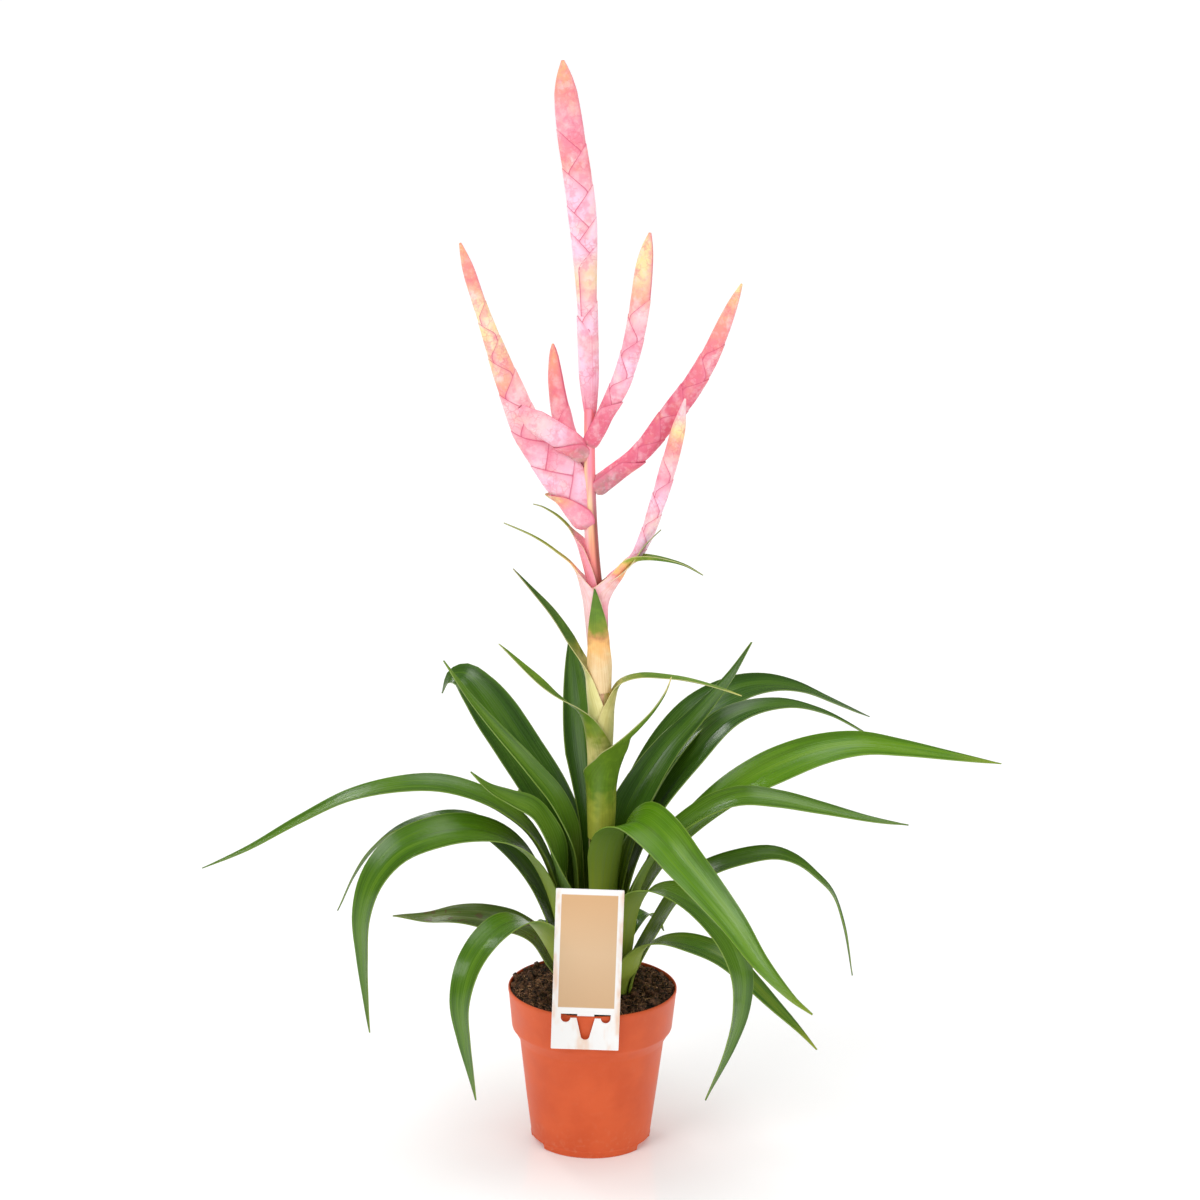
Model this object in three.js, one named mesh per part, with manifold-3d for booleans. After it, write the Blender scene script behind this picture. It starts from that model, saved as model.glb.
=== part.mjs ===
// A bromeliad in flower, in a plastic nursery pot with a plant card on its rim.
// Millimetres, +Z up, the camera's side is -Y. The origin is the centre of the pot's underside.
// A turn is an angle in degrees about +Z, measured from +X: 270 points at the viewer.
import * as THREE from "three";
import { mergeVertices } from "three/addons/utils/BufferGeometryUtils.js";
import Module from "manifold-3d";

const wasm = await Module();
wasm.setup();

// Driving sizes of the pot
const POT_HEIGHT = 115;
const RIM_RADIUS = 60;
const BAND_FOOT_RADIUS = 57;
const BAND_FOOT = 85;
const BODY_TOP_RADIUS = 51.5;
const BODY_TOP = 77;
const FOOT_RADIUS = 42.3;
const WALL = 1.3;
const FLOOR = 2.2;
const RIM_ROUNDING = 0.5;
const POT_SIDES = 36;
const NOTCH_TURNS = [90, 201, 340];
const NOTCH_HALF_ANGLE = 18;
const NOTCH_HEIGHT = 4.4;
const NOTCH_DEPTH = 4.5;
const DRAIN_RADIUS = 3.5;
const DRAIN_RING_RADIUS = 24;
const DRAIN_COUNT = 6;

// Driving sizes of the soil and of the hole that the plant stands in
const CLEARANCE = 0.35;
const SOIL_TOP = 113.3;
const SOIL_BUMP = 1.1;
const CROWN_FOOT = 104;
const HOLE_RADIUS = 29.2;
const SOIL_SIDES = 24;
const CHIP_COUNT = 7;

// Driving sizes of the card
const CARD_WIDTH = 46;
const CARD_HEIGHT = 119;
const CARD_THICKNESS = 0.6;
const CARD_CENTRE = [-3.9, 150.3];
const CARD_LEAN_DEGREES = 1.2;
const CARD_FACE = RIM_RADIUS + CLEARANCE;
const SLOT_TOP = 117.2;
const SLOT_BOTTOM = 114.2;
const SLOT_HALF_LENGTH = 17.4;
const LOBE_RADIUS = 3.4;
const TONGUE_TOP_HALF = 6.4;
const TONGUE_TIP_HALF = 3.2;
const TONGUE_TIP = 98;
const TONGUE_DEPTH = 55.3;

// Driving sizes of the plant
const STEM_FOOT_RADIUS = 7.8;
const SHEATHED_RADIUS = 6.6;
const STEM_RADIUS = 4.9;
const STEM_TOP_RADIUS = 3.7;
const STEM_SIDES = 12;
const STEM_TOP = 532;
const STEM_LINE = [
  [0, CROWN_FOOT], [3, 180], [4.5, 232], [2.5, 330], [0.5, 390], [-6, 470], [-7.5, STEM_TOP],
];
const SHEATH_INNER_RADIUS = 9.2;
const SHEATH_STEP = 1.9;
const SHEATH_WIDEST_CLASP = 46;
const SHEATH_HALF_WIDTH = 15.2;
const LEAF_THICKNESS = 0.8;
const BRACT_THICKNESS = 0.6;
const SPIKE_FLATNESS = 0.42;
const SPIKE_DEEPEST = 3.4;
const SCALE_PITCH = 13;
const SCALE_LENGTH = 2.6;
const SCALE_RELIEF = 0.9;
const SCALE_WRAP = -0.4;

const degrees = (angle) => THREE.MathUtils.degToRad(angle);
const mix = THREE.MathUtils.lerp;
const smooth = THREE.MathUtils.smoothstep;

// Solids from points and faces

function makeGeometry(points, faces) {
  const geometry = new THREE.BufferGeometry();
  geometry.setAttribute("position", new THREE.Float32BufferAttribute(points.flat(), 3));
  geometry.setIndex(faces.flat());
  return signedVolume(geometry) < 0 ? turnedInsideOut(geometry) : geometry;
}

function signedVolume(geometry) {
  const position = geometry.getAttribute("position");
  const index = geometry.getIndex().array;
  const corner = [0, 1, 2].map(() => new THREE.Vector3());
  let volume = 0;
  for (let i = 0; i < index.length; i += 3) {
    corner.forEach((point, k) => point.fromBufferAttribute(position, index[i + k]));
    volume += corner[0].dot(corner[1].clone().cross(corner[2])) / 6;
  }
  return volume;
}

function turnedInsideOut(geometry) {
  const index = Array.from(geometry.getIndex().array);
  for (let i = 0; i < index.length; i += 3) {
    [index[i + 1], index[i + 2]] = [index[i + 2], index[i + 1]];
  }
  geometry.setIndex(index);
  return geometry;
}

function toSolid(geometry) {
  const bare = geometry.clone();
  bare.deleteAttribute("normal");
  bare.deleteAttribute("uv");
  const merged = mergeVertices(bare, 1e-4);
  return new wasm.Manifold(new wasm.Mesh({
    numProp: 3,
    vertProperties: Float32Array.from(merged.getAttribute("position").array),
    triVerts: Uint32Array.from(merged.getIndex().array),
  }));
}

function toGeometry(solid) {
  const mesh = solid.getMesh();
  const geometry = new THREE.BufferGeometry();
  geometry.setAttribute("position", new THREE.BufferAttribute(mesh.vertProperties, 3));
  geometry.setIndex(new THREE.BufferAttribute(mesh.triVerts, 1));
  return geometry;
}

// A closed tube through rings of points, with a flat fan at each end.
function loft(rings) {
  const sides = rings[0].length;
  const last = rings.length - 1;
  const points = rings.flat();
  const faces = [];
  for (let i = 0; i < last; i++) {
    for (let j = 0; j < sides; j++) {
      const a = i * sides + j;
      const b = i * sides + (j + 1) % sides;
      faces.push([a, b, b + sides], [a, b + sides, a + sides]);
    }
  }
  for (let j = 1; j < sides - 1; j++) {
    faces.push([0, j + 1, j], [last * sides, last * sides + j, last * sides + j + 1]);
  }
  return makeGeometry(points, faces);
}

// Pot

function potOutline(inset, floor) {
  const slant = (outer) => outer - inset;
  return [
    [0, floor],
    [slant(FOOT_RADIUS), floor],
    [slant(BODY_TOP_RADIUS), BODY_TOP],
    [slant(BAND_FOOT_RADIUS), BAND_FOOT],
    [slant(RIM_RADIUS), POT_HEIGHT - RIM_ROUNDING],
  ];
}

function latheSolid(outline, sides) {
  const geometry = new THREE.LatheGeometry(outline.map(([r, z]) => new THREE.Vector2(r, z)), sides);
  geometry.rotateX(Math.PI / 2);
  const solid = toSolid(geometry);
  return solid.volume() < 0 ? toSolid(turnedInsideOut(geometry)) : solid;
}

// The bite at the pot's bottom edge: a short piece of ring, grown all round by `margin`.
function notchSolid(turn, margin) {
  const inner = FOOT_RADIUS - NOTCH_DEPTH - margin;
  const outer = FOOT_RADIUS + 6;
  const half = degrees(NOTCH_HALF_ANGLE) + margin / FOOT_RADIUS;
  const shape = new THREE.Shape();
  shape.absarc(0, 0, outer, degrees(turn) - half, degrees(turn) + half, false);
  shape.absarc(0, 0, inner, degrees(turn) + half, degrees(turn) - half, true);
  const height = NOTCH_HEIGHT + margin + 4;
  const bite = new THREE.ExtrudeGeometry(shape, { depth: height, bevelEnabled: false, curveSegments: 6 });
  return toSolid(bite.translate(0, 0, -4));
}

function potCavity(margin) {
  const wallTop = RIM_RADIUS - WALL - margin;
  const outline = potOutline(WALL + margin, FLOOR + margin);
  let cavity = latheSolid([...outline, [wallTop, POT_HEIGHT + 6], [0, POT_HEIGHT + 6]], POT_SIDES);
  for (const turn of NOTCH_TURNS) {
    cavity = cavity.subtract(notchSolid(turn, WALL + margin));
  }
  return cavity;
}

function potGeometry() {
  const top = POT_HEIGHT;
  const rounded = [[RIM_RADIUS - RIM_ROUNDING, top], [0, top]];
  let pot = latheSolid([...potOutline(0, 0), ...rounded], POT_SIDES);
  for (const turn of NOTCH_TURNS) {
    pot = pot.subtract(notchSolid(turn, 0));
  }
  for (let i = 0; i < DRAIN_COUNT; i++) {
    const angle = (i / DRAIN_COUNT) * 2 * Math.PI;
    const hole = new THREE.CylinderGeometry(DRAIN_RADIUS, DRAIN_RADIUS, 8, 10).rotateX(Math.PI / 2);
    const ring = DRAIN_RING_RADIUS;
    pot = pot.subtract(toSolid(hole.translate(ring * Math.cos(angle), ring * Math.sin(angle), 1)));
  }
  return toGeometry(pot.subtract(potCavity(0)));
}

// Soil

function seededRandom(seed) {
  let state = seed;
  return () => {
    state = (state * 16807) % 2147483647;
    return state / 2147483647;
  };
}

function soilHeight(x, y) {
  const coarse = Math.sin(x * 0.29 + 1.3) * Math.cos(y * 0.33 - 0.4);
  const fine = Math.sin(x * 0.71 - y * 0.52) * 0.5 + Math.cos(x * 0.47 + y * 0.83) * 0.5;
  return SOIL_TOP + SOIL_BUMP * (0.55 * coarse + 0.45 * fine);
}

function soilGeometry() {
  const ringRadii = [24, 31, 38, 45, 51.5, 58.4];
  const rings = ringRadii.map((radius, i) => Array.from({ length: SOIL_SIDES }, (_, j) => {
    const angle = ((j + (i % 2) / 2) / SOIL_SIDES) * 2 * Math.PI;
    const x = radius * Math.cos(angle);
    const y = radius * Math.sin(angle);
    return [x, y, soilHeight(x, y)];
  }));
  const deep = (ring, depth) => ring.map(([x, y]) => [x, y, depth]);
  const last = rings[rings.length - 1];
  let soil = toSolid(loft([deep(rings[0], 96), ...rings, deep(last, 96)]));
  soil = soil.add(latheSolid([[0, 0], [RIM_RADIUS, 0], [RIM_RADIUS, 98], [0, 98]], POT_SIDES));
  const floorOfHole = CROWN_FOOT - CLEARANCE;
  soil = soil.add(latheSolid([[0, 90], [26, 90], [26, 112], [0, 112]], POT_SIDES));
  const hole = new THREE.CylinderGeometry(HOLE_RADIUS, HOLE_RADIUS, 40, 36).rotateX(Math.PI / 2);
  const cutHole = toSolid(hole.translate(0, 0, floorOfHole + 20));
  const random = seededRandom(7);
  for (let i = 0; i < CHIP_COUNT; i++) {
    const angle = random() * 2 * Math.PI;
    const out = mix(34, 52, random());
    const chip = new THREE.BoxGeometry(mix(5, 13, random()), 2, 1.6);
    chip.rotateY(mix(-0.12, 0.12, random())).rotateZ(random() * Math.PI);
    const x = out * Math.cos(angle);
    const y = out * Math.sin(angle);
    soil = soil.add(toSolid(chip.translate(x, y, soilHeight(x, y) + 0.1)));
  }
  const pocket = new THREE.BoxGeometry(TONGUE_TOP_HALF * 2 + 2, 6, 60);
  soil = soil.subtract(cutHole).intersect(potCavity(CLEARANCE));
  const cutPocket = toSolid(pocket.translate(CARD_CENTRE[0], 2.2 - TONGUE_DEPTH - 4, TONGUE_TIP + 28));
  return toGeometry(soil.subtract(cutPocket));
}

// Card: a stiff board outside the pot, hung on the rim by the tongue that is cut out of it.

function upright(shape, thickness) {
  const across = { depth: thickness, bevelEnabled: false, curveSegments: 5 };
  const slab = new THREE.ExtrudeGeometry(shape, across);
  return slab.rotateX(Math.PI / 2).translate(0, thickness / 2, 0);
}

function cutOutShape() {
  const gap = new THREE.Shape();
  const lobe = SLOT_HALF_LENGTH - LOBE_RADIUS;
  gap.moveTo(-SLOT_HALF_LENGTH, SLOT_TOP);
  gap.lineTo(-SLOT_HALF_LENGTH, SLOT_BOTTOM);
  gap.absarc(-lobe, SLOT_BOTTOM, LOBE_RADIUS, Math.PI, 2 * Math.PI, false);
  gap.lineTo(-TONGUE_TOP_HALF, SLOT_BOTTOM);
  gap.lineTo(-TONGUE_TIP_HALF, TONGUE_TIP + TONGUE_TIP_HALF);
  gap.absarc(0, TONGUE_TIP + TONGUE_TIP_HALF, TONGUE_TIP_HALF, Math.PI, 2 * Math.PI, false);
  gap.lineTo(TONGUE_TOP_HALF, SLOT_BOTTOM);
  gap.lineTo(lobe - LOBE_RADIUS, SLOT_BOTTOM);
  gap.absarc(lobe, SLOT_BOTTOM, LOBE_RADIUS, Math.PI, 2 * Math.PI, false);
  gap.lineTo(SLOT_HALF_LENGTH, SLOT_TOP);
  return gap;
}

function tongueShape(top) {
  const tongue = new THREE.Shape();
  const trim = 0.5;
  tongue.moveTo(-TONGUE_TOP_HALF + trim, top);
  tongue.lineTo(-TONGUE_TIP_HALF + trim, TONGUE_TIP + 2);
  tongue.lineTo(TONGUE_TIP_HALF - trim, TONGUE_TIP + 2);
  tongue.lineTo(TONGUE_TOP_HALF - trim, top);
  return tongue;
}

function cardGeometry() {
  const [middle, centre] = CARD_CENTRE;
  const board = new THREE.BoxGeometry(CARD_WIDTH, CARD_THICKNESS, CARD_HEIGHT);
  const front = -(CARD_FACE + CARD_THICKNESS / 2);
  const onRim = POT_HEIGHT + CLEARANCE;
  let card = toSolid(board.translate(0, front, centre));
  card = card.subtract(toSolid(upright(cutOutShape(), 6).translate(0, front, 0)));
  const width = 2 * TONGUE_TOP_HALF - 1;
  const step = new THREE.BoxGeometry(width, -front - TONGUE_DEPTH + CARD_THICKNESS, CARD_THICKNESS);
  const root = new THREE.BoxGeometry(width, CARD_THICKNESS, SLOT_TOP + 1 - onRim);
  const tongue = upright(tongueShape(onRim + CARD_THICKNESS), CARD_THICKNESS);
  card = card.add(toSolid(root.translate(0, front, (SLOT_TOP + 1 + onRim) / 2)));
  card = card.add(toSolid(step.translate(0, (front - TONGUE_DEPTH) / 2, onRim + CARD_THICKNESS / 2)));
  card = card.add(toSolid(tongue.translate(0, -TONGUE_DEPTH, 0)));
  const geometry = toGeometry(card);
  geometry.translate(0, 0, -onRim).rotateY(degrees(CARD_LEAN_DEGREES));
  return geometry.translate(middle, 0, onRim);
}

// Stem

const stemLine = new THREE.CatmullRomCurve3(STEM_LINE.map(([x, z]) => new THREE.Vector3(x, 0, z)));

function stemOffset(height) {
  const along = THREE.MathUtils.clamp(height, CROWN_FOOT, STEM_LINE[STEM_LINE.length - 1][1]);
  let low = 0;
  let high = 1;
  for (let i = 0; i < 24; i++) {
    const middle = (low + high) / 2;
    if (stemLine.getPoint(middle).z < along) low = middle;
    else high = middle;
  }
  return stemLine.getPoint(low).x;
}

function stemRadius(height) {
  const sheathed = mix(STEM_FOOT_RADIUS, SHEATHED_RADIUS, smooth(height, CROWN_FOOT, 215));
  const bare = mix(sheathed, STEM_RADIUS, smooth(height, 375, 412));
  return mix(bare, STEM_TOP_RADIUS, smooth(height, 420, STEM_TOP));
}

// The stem's outside, grown by `margin`, between two heights.
function stemSolid(margin, from, to, steps) {
  const rings = [];
  for (let i = 0; i <= steps; i++) {
    const height = mix(from, to, i / steps);
    const radius = stemRadius(height) + margin;
    const axis = stemOffset(height);
    rings.push(Array.from({ length: STEM_SIDES }, (_, j) => {
      const angle = (j / STEM_SIDES) * 2 * Math.PI;
      return [axis + radius * Math.cos(angle), radius * Math.sin(angle), height];
    }));
  }
  return loft(rings);
}

// Leaves and bracts
//
// A strap follows its midrib, given as [out, up] in the vertical plane at `turn`. It clasps the
// stem at its foot, as part of a cone about the axis, and opens into a channelled blade. It keeps
// its full clasp over the share `hold` of its length, and is open after the share `sheath`. Its
// margins begin to rise at `cupFrom` of that.

function strapGeometry(strap) {
  const { turn, midrib, halfWidth, clasp, sheath, stations, strips, thickness } = strap;
  const { swing = 0, roll = 0, channel = 0.22, onStem = false, hold = 0 } = strap;
  const { belly = 0.45, taper = 1.25, tip = 0.5, cupFrom = 0.7 } = strap;
  const { rollFrom = sheath, rollTo = 0.6 } = strap;
  const rib = new THREE.CatmullRomCurve3(
    midrib.map(([out, up]) => new THREE.Vector3(out, 0, up)), false, "centripetal");
  const foot = degrees(clasp) * midrib[0][0];
  const rows = [];
  for (let i = 0; i <= stations; i++) {
    const u = i / stations;
    const p = rib.getPointAt(u);
    const along = rib.getTangentAt(u);
    const upper = new THREE.Vector3(-along.z, 0, along.x);
    const narrowing = u < belly ? 1 : 1 - ((u - belly) / (1 - belly)) ** taper;
    const blade = mix(tip, halfWidth, narrowing);
    const half = mix(foot, blade, smooth(u, hold, sheath));
    const lift = channel * half * smooth(u, sheath * cupFrom, sheath * 1.6);
    const heading = degrees(turn + swing * smooth(u, sheath * 0.5, 1));
    const twist = degrees(roll * smooth(u, rollFrom, rollTo));
    const row = [];
    for (let j = 0; j <= strips; j++) {
      const across = (2 * j) / strips - 1;
      const angle = (across * half) / Math.max(p.x, half / degrees(clasp + 1));
      const offset = new THREE.Vector3(p.x * (Math.cos(angle) - 1), p.x * Math.sin(angle), 0);
      offset.addScaledVector(upper, lift * across * across);
      offset.applyAxisAngle(along, twist);
      const point = offset.add(p).applyAxisAngle(new THREE.Vector3(0, 0, 1), heading);
      if (onStem) point.x += stemOffset(point.z);
      row.push(point);
    }
    rows.push(row);
  }
  return thicken(rows, thickness);
}

// Gives a sheet of points, rows by columns, its thickness, half of it on each side.
function thicken(rows, thickness) {
  const last = rows.length - 1;
  const strips = rows[0].length - 1;
  const upper = [];
  const lower = [];
  rows.forEach((row, i) => row.forEach((point, j) => {
    const lengthwise = rows[Math.min(i + 1, last)][j].clone().sub(rows[Math.max(i - 1, 0)][j]);
    const across = row[Math.min(j + 1, strips)].clone().sub(row[Math.max(j - 1, 0)]);
    const normal = lengthwise.cross(across).normalize().multiplyScalar(thickness / 2);
    upper.push(point.clone().add(normal).toArray());
    lower.push(point.clone().sub(normal).toArray());
  }));
  const width = strips + 1;
  const back = upper.length;
  const faces = [];
  for (let i = 0; i < last; i++) {
    for (let j = 0; j < strips; j++) {
      const a = i * width + j;
      const b = a + width;
      const [p, q, r, s] = j < strips / 2 ? [a, a + 1, b + 1, b] : [a + 1, b + 1, b, a];
      faces.push([p, q, r], [p, r, s], [back + p, back + r, back + q], [back + p, back + s, back + r]);
    }
    const left = i * width;
    const right = left + strips;
    faces.push([left, left + width, back + left], [left + width, back + left + width, back + left]);
    faces.push([right, back + right, right + width], [right + width, back + right, back + right + width]);
  }
  for (let j = 0; j < strips; j++) {
    const end = last * width + j;
    faces.push([j, back + j, j + 1], [j + 1, back + j, back + j + 1]);
    faces.push([end, end + 1, back + end], [end + 1, back + end + 1, back + end]);
  }
  return makeGeometry([...upper, ...lower], faces);
}

// Each leaf's sheath stands on a ring round the stem, counted from the stem outward. Leaves on
// one ring stand side by side, and each ring lies outside the one before.
const leaves = [
  { name: "leaf_back_erect", turn: 93, ring: 0, clasp: 27, swing: 12,
    halfWidth: 17, belly: 0.7, taper: 1.6,
    midrib: [[13.5, 190], [18, 226], [28, 260], [43, 299], [60, 332], [75, 356]] },
  { name: "leaf_left_slender", turn: 178, ring: 0, clasp: 30, halfWidth: 10,
    midrib: [[13, 180], [17, 222], [28, 254], [46, 277], [67, 301], [88, 327], [107, 354]] },
  { name: "leaf_right_erect", turn: 27, ring: 0, clasp: 27, roll: 42,
    halfWidth: 16, belly: 0.62, taper: 1.4,
    midrib: [[14, 190], [21, 226], [37, 259], [57, 285], [81, 307], [106, 332], [123, 355]] },
  { name: "leaf_front_large", turn: 306, ring: 1, halfWidth: 17, roll: 42, swing: 4,
    midrib: [[15, 165], [19, 212], [29, 240], [51, 254], [76, 249], [101, 236], [123, 224],
      [151, 207], [178, 186], [210, 170], [229, 165]] },
  { name: "leaf_left_short", turn: 211, ring: 3, clasp: 30, halfWidth: 14, roll: -20,
    midrib: [[22, 165], [30, 204], [38, 234], [50, 255], [68, 266], [84, 276], [100, 291]] },
  { name: "leaf_left_hooked", turn: 147, ring: 2, clasp: 33, roll: -42,
    halfWidth: 16.5, belly: 0.75, taper: 1.8,
    midrib: [[17.5, 170], [23.5, 210], [42, 251], [65, 279], [84, 300], [100, 316], [113, 325],
      [125, 322], [132, 309]] },
  { name: "leaf_right_rear", turn: 44, ring: 2, halfWidth: 14, roll: 18,
    midrib: [[18, 170], [26, 210], [55, 260], [97, 296], [139, 306], [172, 304], [206, 294],
      [240, 278], [284, 256]] },
  { name: "leaf_right_arched", turn: 29, ring: 3, halfWidth: 16, roll: -4,
    midrib: [[21, 170], [31, 208], [50, 242], [77, 272], [110, 298], [152, 303], [186, 293], [229, 268]] },
  { name: "leaf_back_left", turn: 122, ring: 3, halfWidth: 15,
    midrib: [[22, 170], [31, 208], [48, 232], [70, 244], [92, 240], [108, 226]] },
  { name: "leaf_right_low_arch", turn: 348, ring: 4, halfWidth: 15, roll: 20,
    midrib: [[25, 162], [38, 203], [52, 228], [70, 245], [87, 257], [107, 265], [132, 265],
      [160, 261], [192, 257], [222, 255]] },
  { name: "leaf_left_long", turn: 182, ring: 4, halfWidth: 15, roll: -9,
    midrib: [[24, 165], [34, 206], [48, 231], [64, 245], [81, 255], [109, 264], [137, 264],
      [172, 256], [207, 238], [242, 218], [276, 203]] },
  { name: "leaf_right_long", turn: 12, ring: 5, halfWidth: 17, roll: 27, belly: 0.55,
    midrib: [[26, 160], [42, 196], [62, 221], [84, 241], [107, 258], [135, 272], [163, 281],
      [192, 284], [221, 280], [258, 273], [297, 265]] },
  { name: "leaf_left_drooping", turn: 197, ring: 5, halfWidth: 17, roll: -28,
    midrib: [[26, 160], [37, 196], [51, 219], [68, 232], [91, 239], [113, 239], [141, 230],
      [159, 211], [168, 184], [168, 151], [165, 117], [163, 96]] },
  { name: "leaf_right_hooked", turn: 9, ring: 9, halfWidth: 14.5, roll: 12, belly: 0.4, taper: 0.8,
    midrib: [[34, 134], [46, 158], [61, 181], [84, 198], [107, 206], [129, 208], [146, 202], [160, 191],
      [172, 178], [181, 153], [189, 114]] },
  { name: "leaf_left_rear", turn: 166, ring: 6, halfWidth: 15,
    midrib: [[28, 150], [45, 188], [69, 214], [91, 227], [113, 229], [143, 219], [162, 202],
      [177, 180], [190, 152]] },
  { name: "leaf_front_right", turn: 314, ring: 7, halfWidth: 15,
    midrib: [[29, 148], [34, 177], [46, 196], [65, 205], [86, 206], [110, 200], [135, 184],
      [146, 165], [146, 140], [137, 111], [115, 63]] },
  { name: "leaf_front_left", turn: 234, ring: 7, halfWidth: 14,
    midrib: [[31, 138], [56, 172], [84, 188], [107, 190], [128, 184], [144, 171], [152, 149],
      [148, 121], [142, 97], [135, 72]] },
  { name: "leaf_left_spotted", turn: 163, ring: 8, halfWidth: 14, roll: -25,
    midrib: [[33, 132], [44, 146], [62, 153], [85, 156], [104, 155], [126, 151], [151, 149]] },
  { name: "leaf_right_low", turn: 323, ring: 8, clasp: 31, halfWidth: 13, roll: 10, swing: 3,
    midrib: [[32, 130], [38, 147], [50, 158], [67, 164], [90, 165], [111, 161], [136, 147],
      [157, 132], [173, 121], [187, 111]] },
  { name: "leaf_back_long", turn: 85, ring: 4, halfWidth: 15,
    midrib: [[24, 165], [35, 190], [60, 206], [92, 210], [130, 198], [165, 172], [190, 138]] },
  { name: "leaf_back_drooping", turn: 100, ring: 5, clasp: 40, halfWidth: 15,
    midrib: [[27, 152], [42, 174], [66, 186], [96, 185], [128, 168], [152, 138], [164, 100]] },
  { name: "leaf_back_short_left", turn: 124, ring: 7, halfWidth: 12,
    midrib: [[31, 134], [42, 144], [54, 147], [66, 141], [76, 128]] },
  { name: "leaf_back_short_right", turn: 48, ring: 6, clasp: 38, halfWidth: 12,
    midrib: [[29, 140], [40, 151], [54, 155], [66, 149], [76, 136]] },
  { name: "leaf_back_low", turn: 78, ring: 8, halfWidth: 14,
    midrib: [[33, 124], [46, 132], [68, 136], [94, 130], [118, 112], [132, 88]] },
];

function leafGeometry({ ring, midrib, ...leaf }) {
  const foot = SHEATH_INNER_RADIUS + SHEATH_STEP * ring;
  const line = [[foot, CROWN_FOOT], [foot + 1.2 + 0.25 * ring, 124], ...midrib];
  const widest = Math.min(SHEATH_WIDEST_CLASP, THREE.MathUtils.radToDeg(SHEATH_HALF_WIDTH / foot));
  return strapGeometry({
    clasp: widest, sheath: 0.28, stations: 12, strips: 4, thickness: LEAF_THICKNESS, ...leaf, midrib: line,
  });
}

// Bracts sheathe the flower stem. Each starts against the stem, inside the sheath of the one below.
const bracts = [
  { name: "bract_low_left", turn: 186, clasp: 140, hold: 0.2, sheath: 0.55,
    roll: -40, rollFrom: 0.47, rollTo: 0.63, halfWidth: 11.5, belly: 0.55,
    midrib: [[7.6, 236], [9.1, 272], [10.2, 300], [14.5, 318], [24, 328], [34, 335.5],
      [54, 354], [70, 370]] },
  { name: "bract_low_right", turn: 342, hold: 0.3, sheath: 0.5,
    roll: 45, rollFrom: 0.38, rollTo: 0.58, halfWidth: 11.5,
    midrib: [[9, 227], [10, 248], [10.9, 268], [13, 281], [20.5, 290.5], [32, 300.5], [42, 314],
      [49, 331], [52.5, 348]] },
  { name: "bract_thin_back", turn: 122, clasp: 34, hold: 0, sheath: 0.3, halfWidth: 4, strips: 4,
    midrib: [[7.7, 196], [10, 226], [12.5, 262], [13.5, 300], [13.5, 330], [13, 348]] },
  { name: "bract_right_long", turn: 355, clasp: 135, hold: 0.1, sheath: 0.5, halfWidth: 7,
    midrib: [[7.6, 284], [9, 308], [10.4, 327], [15, 341], [28, 347], [50, 346], [75, 342], [99, 335]] },
  { name: "bract_left_dark", turn: 172, clasp: 135, hold: 0.05, sheath: 0.46,
    roll: -35, rollFrom: 0.32, rollTo: 0.52, halfWidth: 8,
    midrib: [[7.6, 312], [9.1, 332], [10.4, 348], [18, 366], [36, 393], [57, 420]] },
  { name: "bract_front_erect", turn: 268, clasp: 120, sheath: 0.5, halfWidth: 8.5,
    midrib: [[7.6, 335], [8.7, 356], [10, 378], [11.4, 395], [12, 412]] },
  { name: "bract_pink_left", turn: 178, clasp: 130, hold: 0.15, sheath: 0.45, halfWidth: 6,
    midrib: [[7.6, 362], [8.9, 384], [10, 404], [14.5, 425], [26, 436], [40, 446], [60, 456]] },
  { name: "bract_pink_right", turn: 345, clasp: 110, sheath: 0.16, halfWidth: 10,
    belly: 0.25, taper: 0.8, channel: 0.95, cupFrom: 0.7,
    midrib: [[7.5, 385], [8.2, 398], [11.5, 407], [20, 419], [26, 428], [32, 431.5], [45, 433],
      [64, 431], [78, 425]] },
  { name: "bract_thin_left", turn: 143, clasp: 105, halfWidth: 3.2,
    midrib: [[5.8, 418], [6.9, 434], [9, 445], [14, 452], [24, 458], [36, 462], [46, 463]] },
];

function bractGeometry(bract) {
  return strapGeometry({
    clasp: 150, sheath: 0.45, stations: 8, strips: 8, thickness: BRACT_THICKNESS, belly: 0.5,
    channel: 0.3, cupFrom: 1, onStem: true, ...bract,
  });
}

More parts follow.
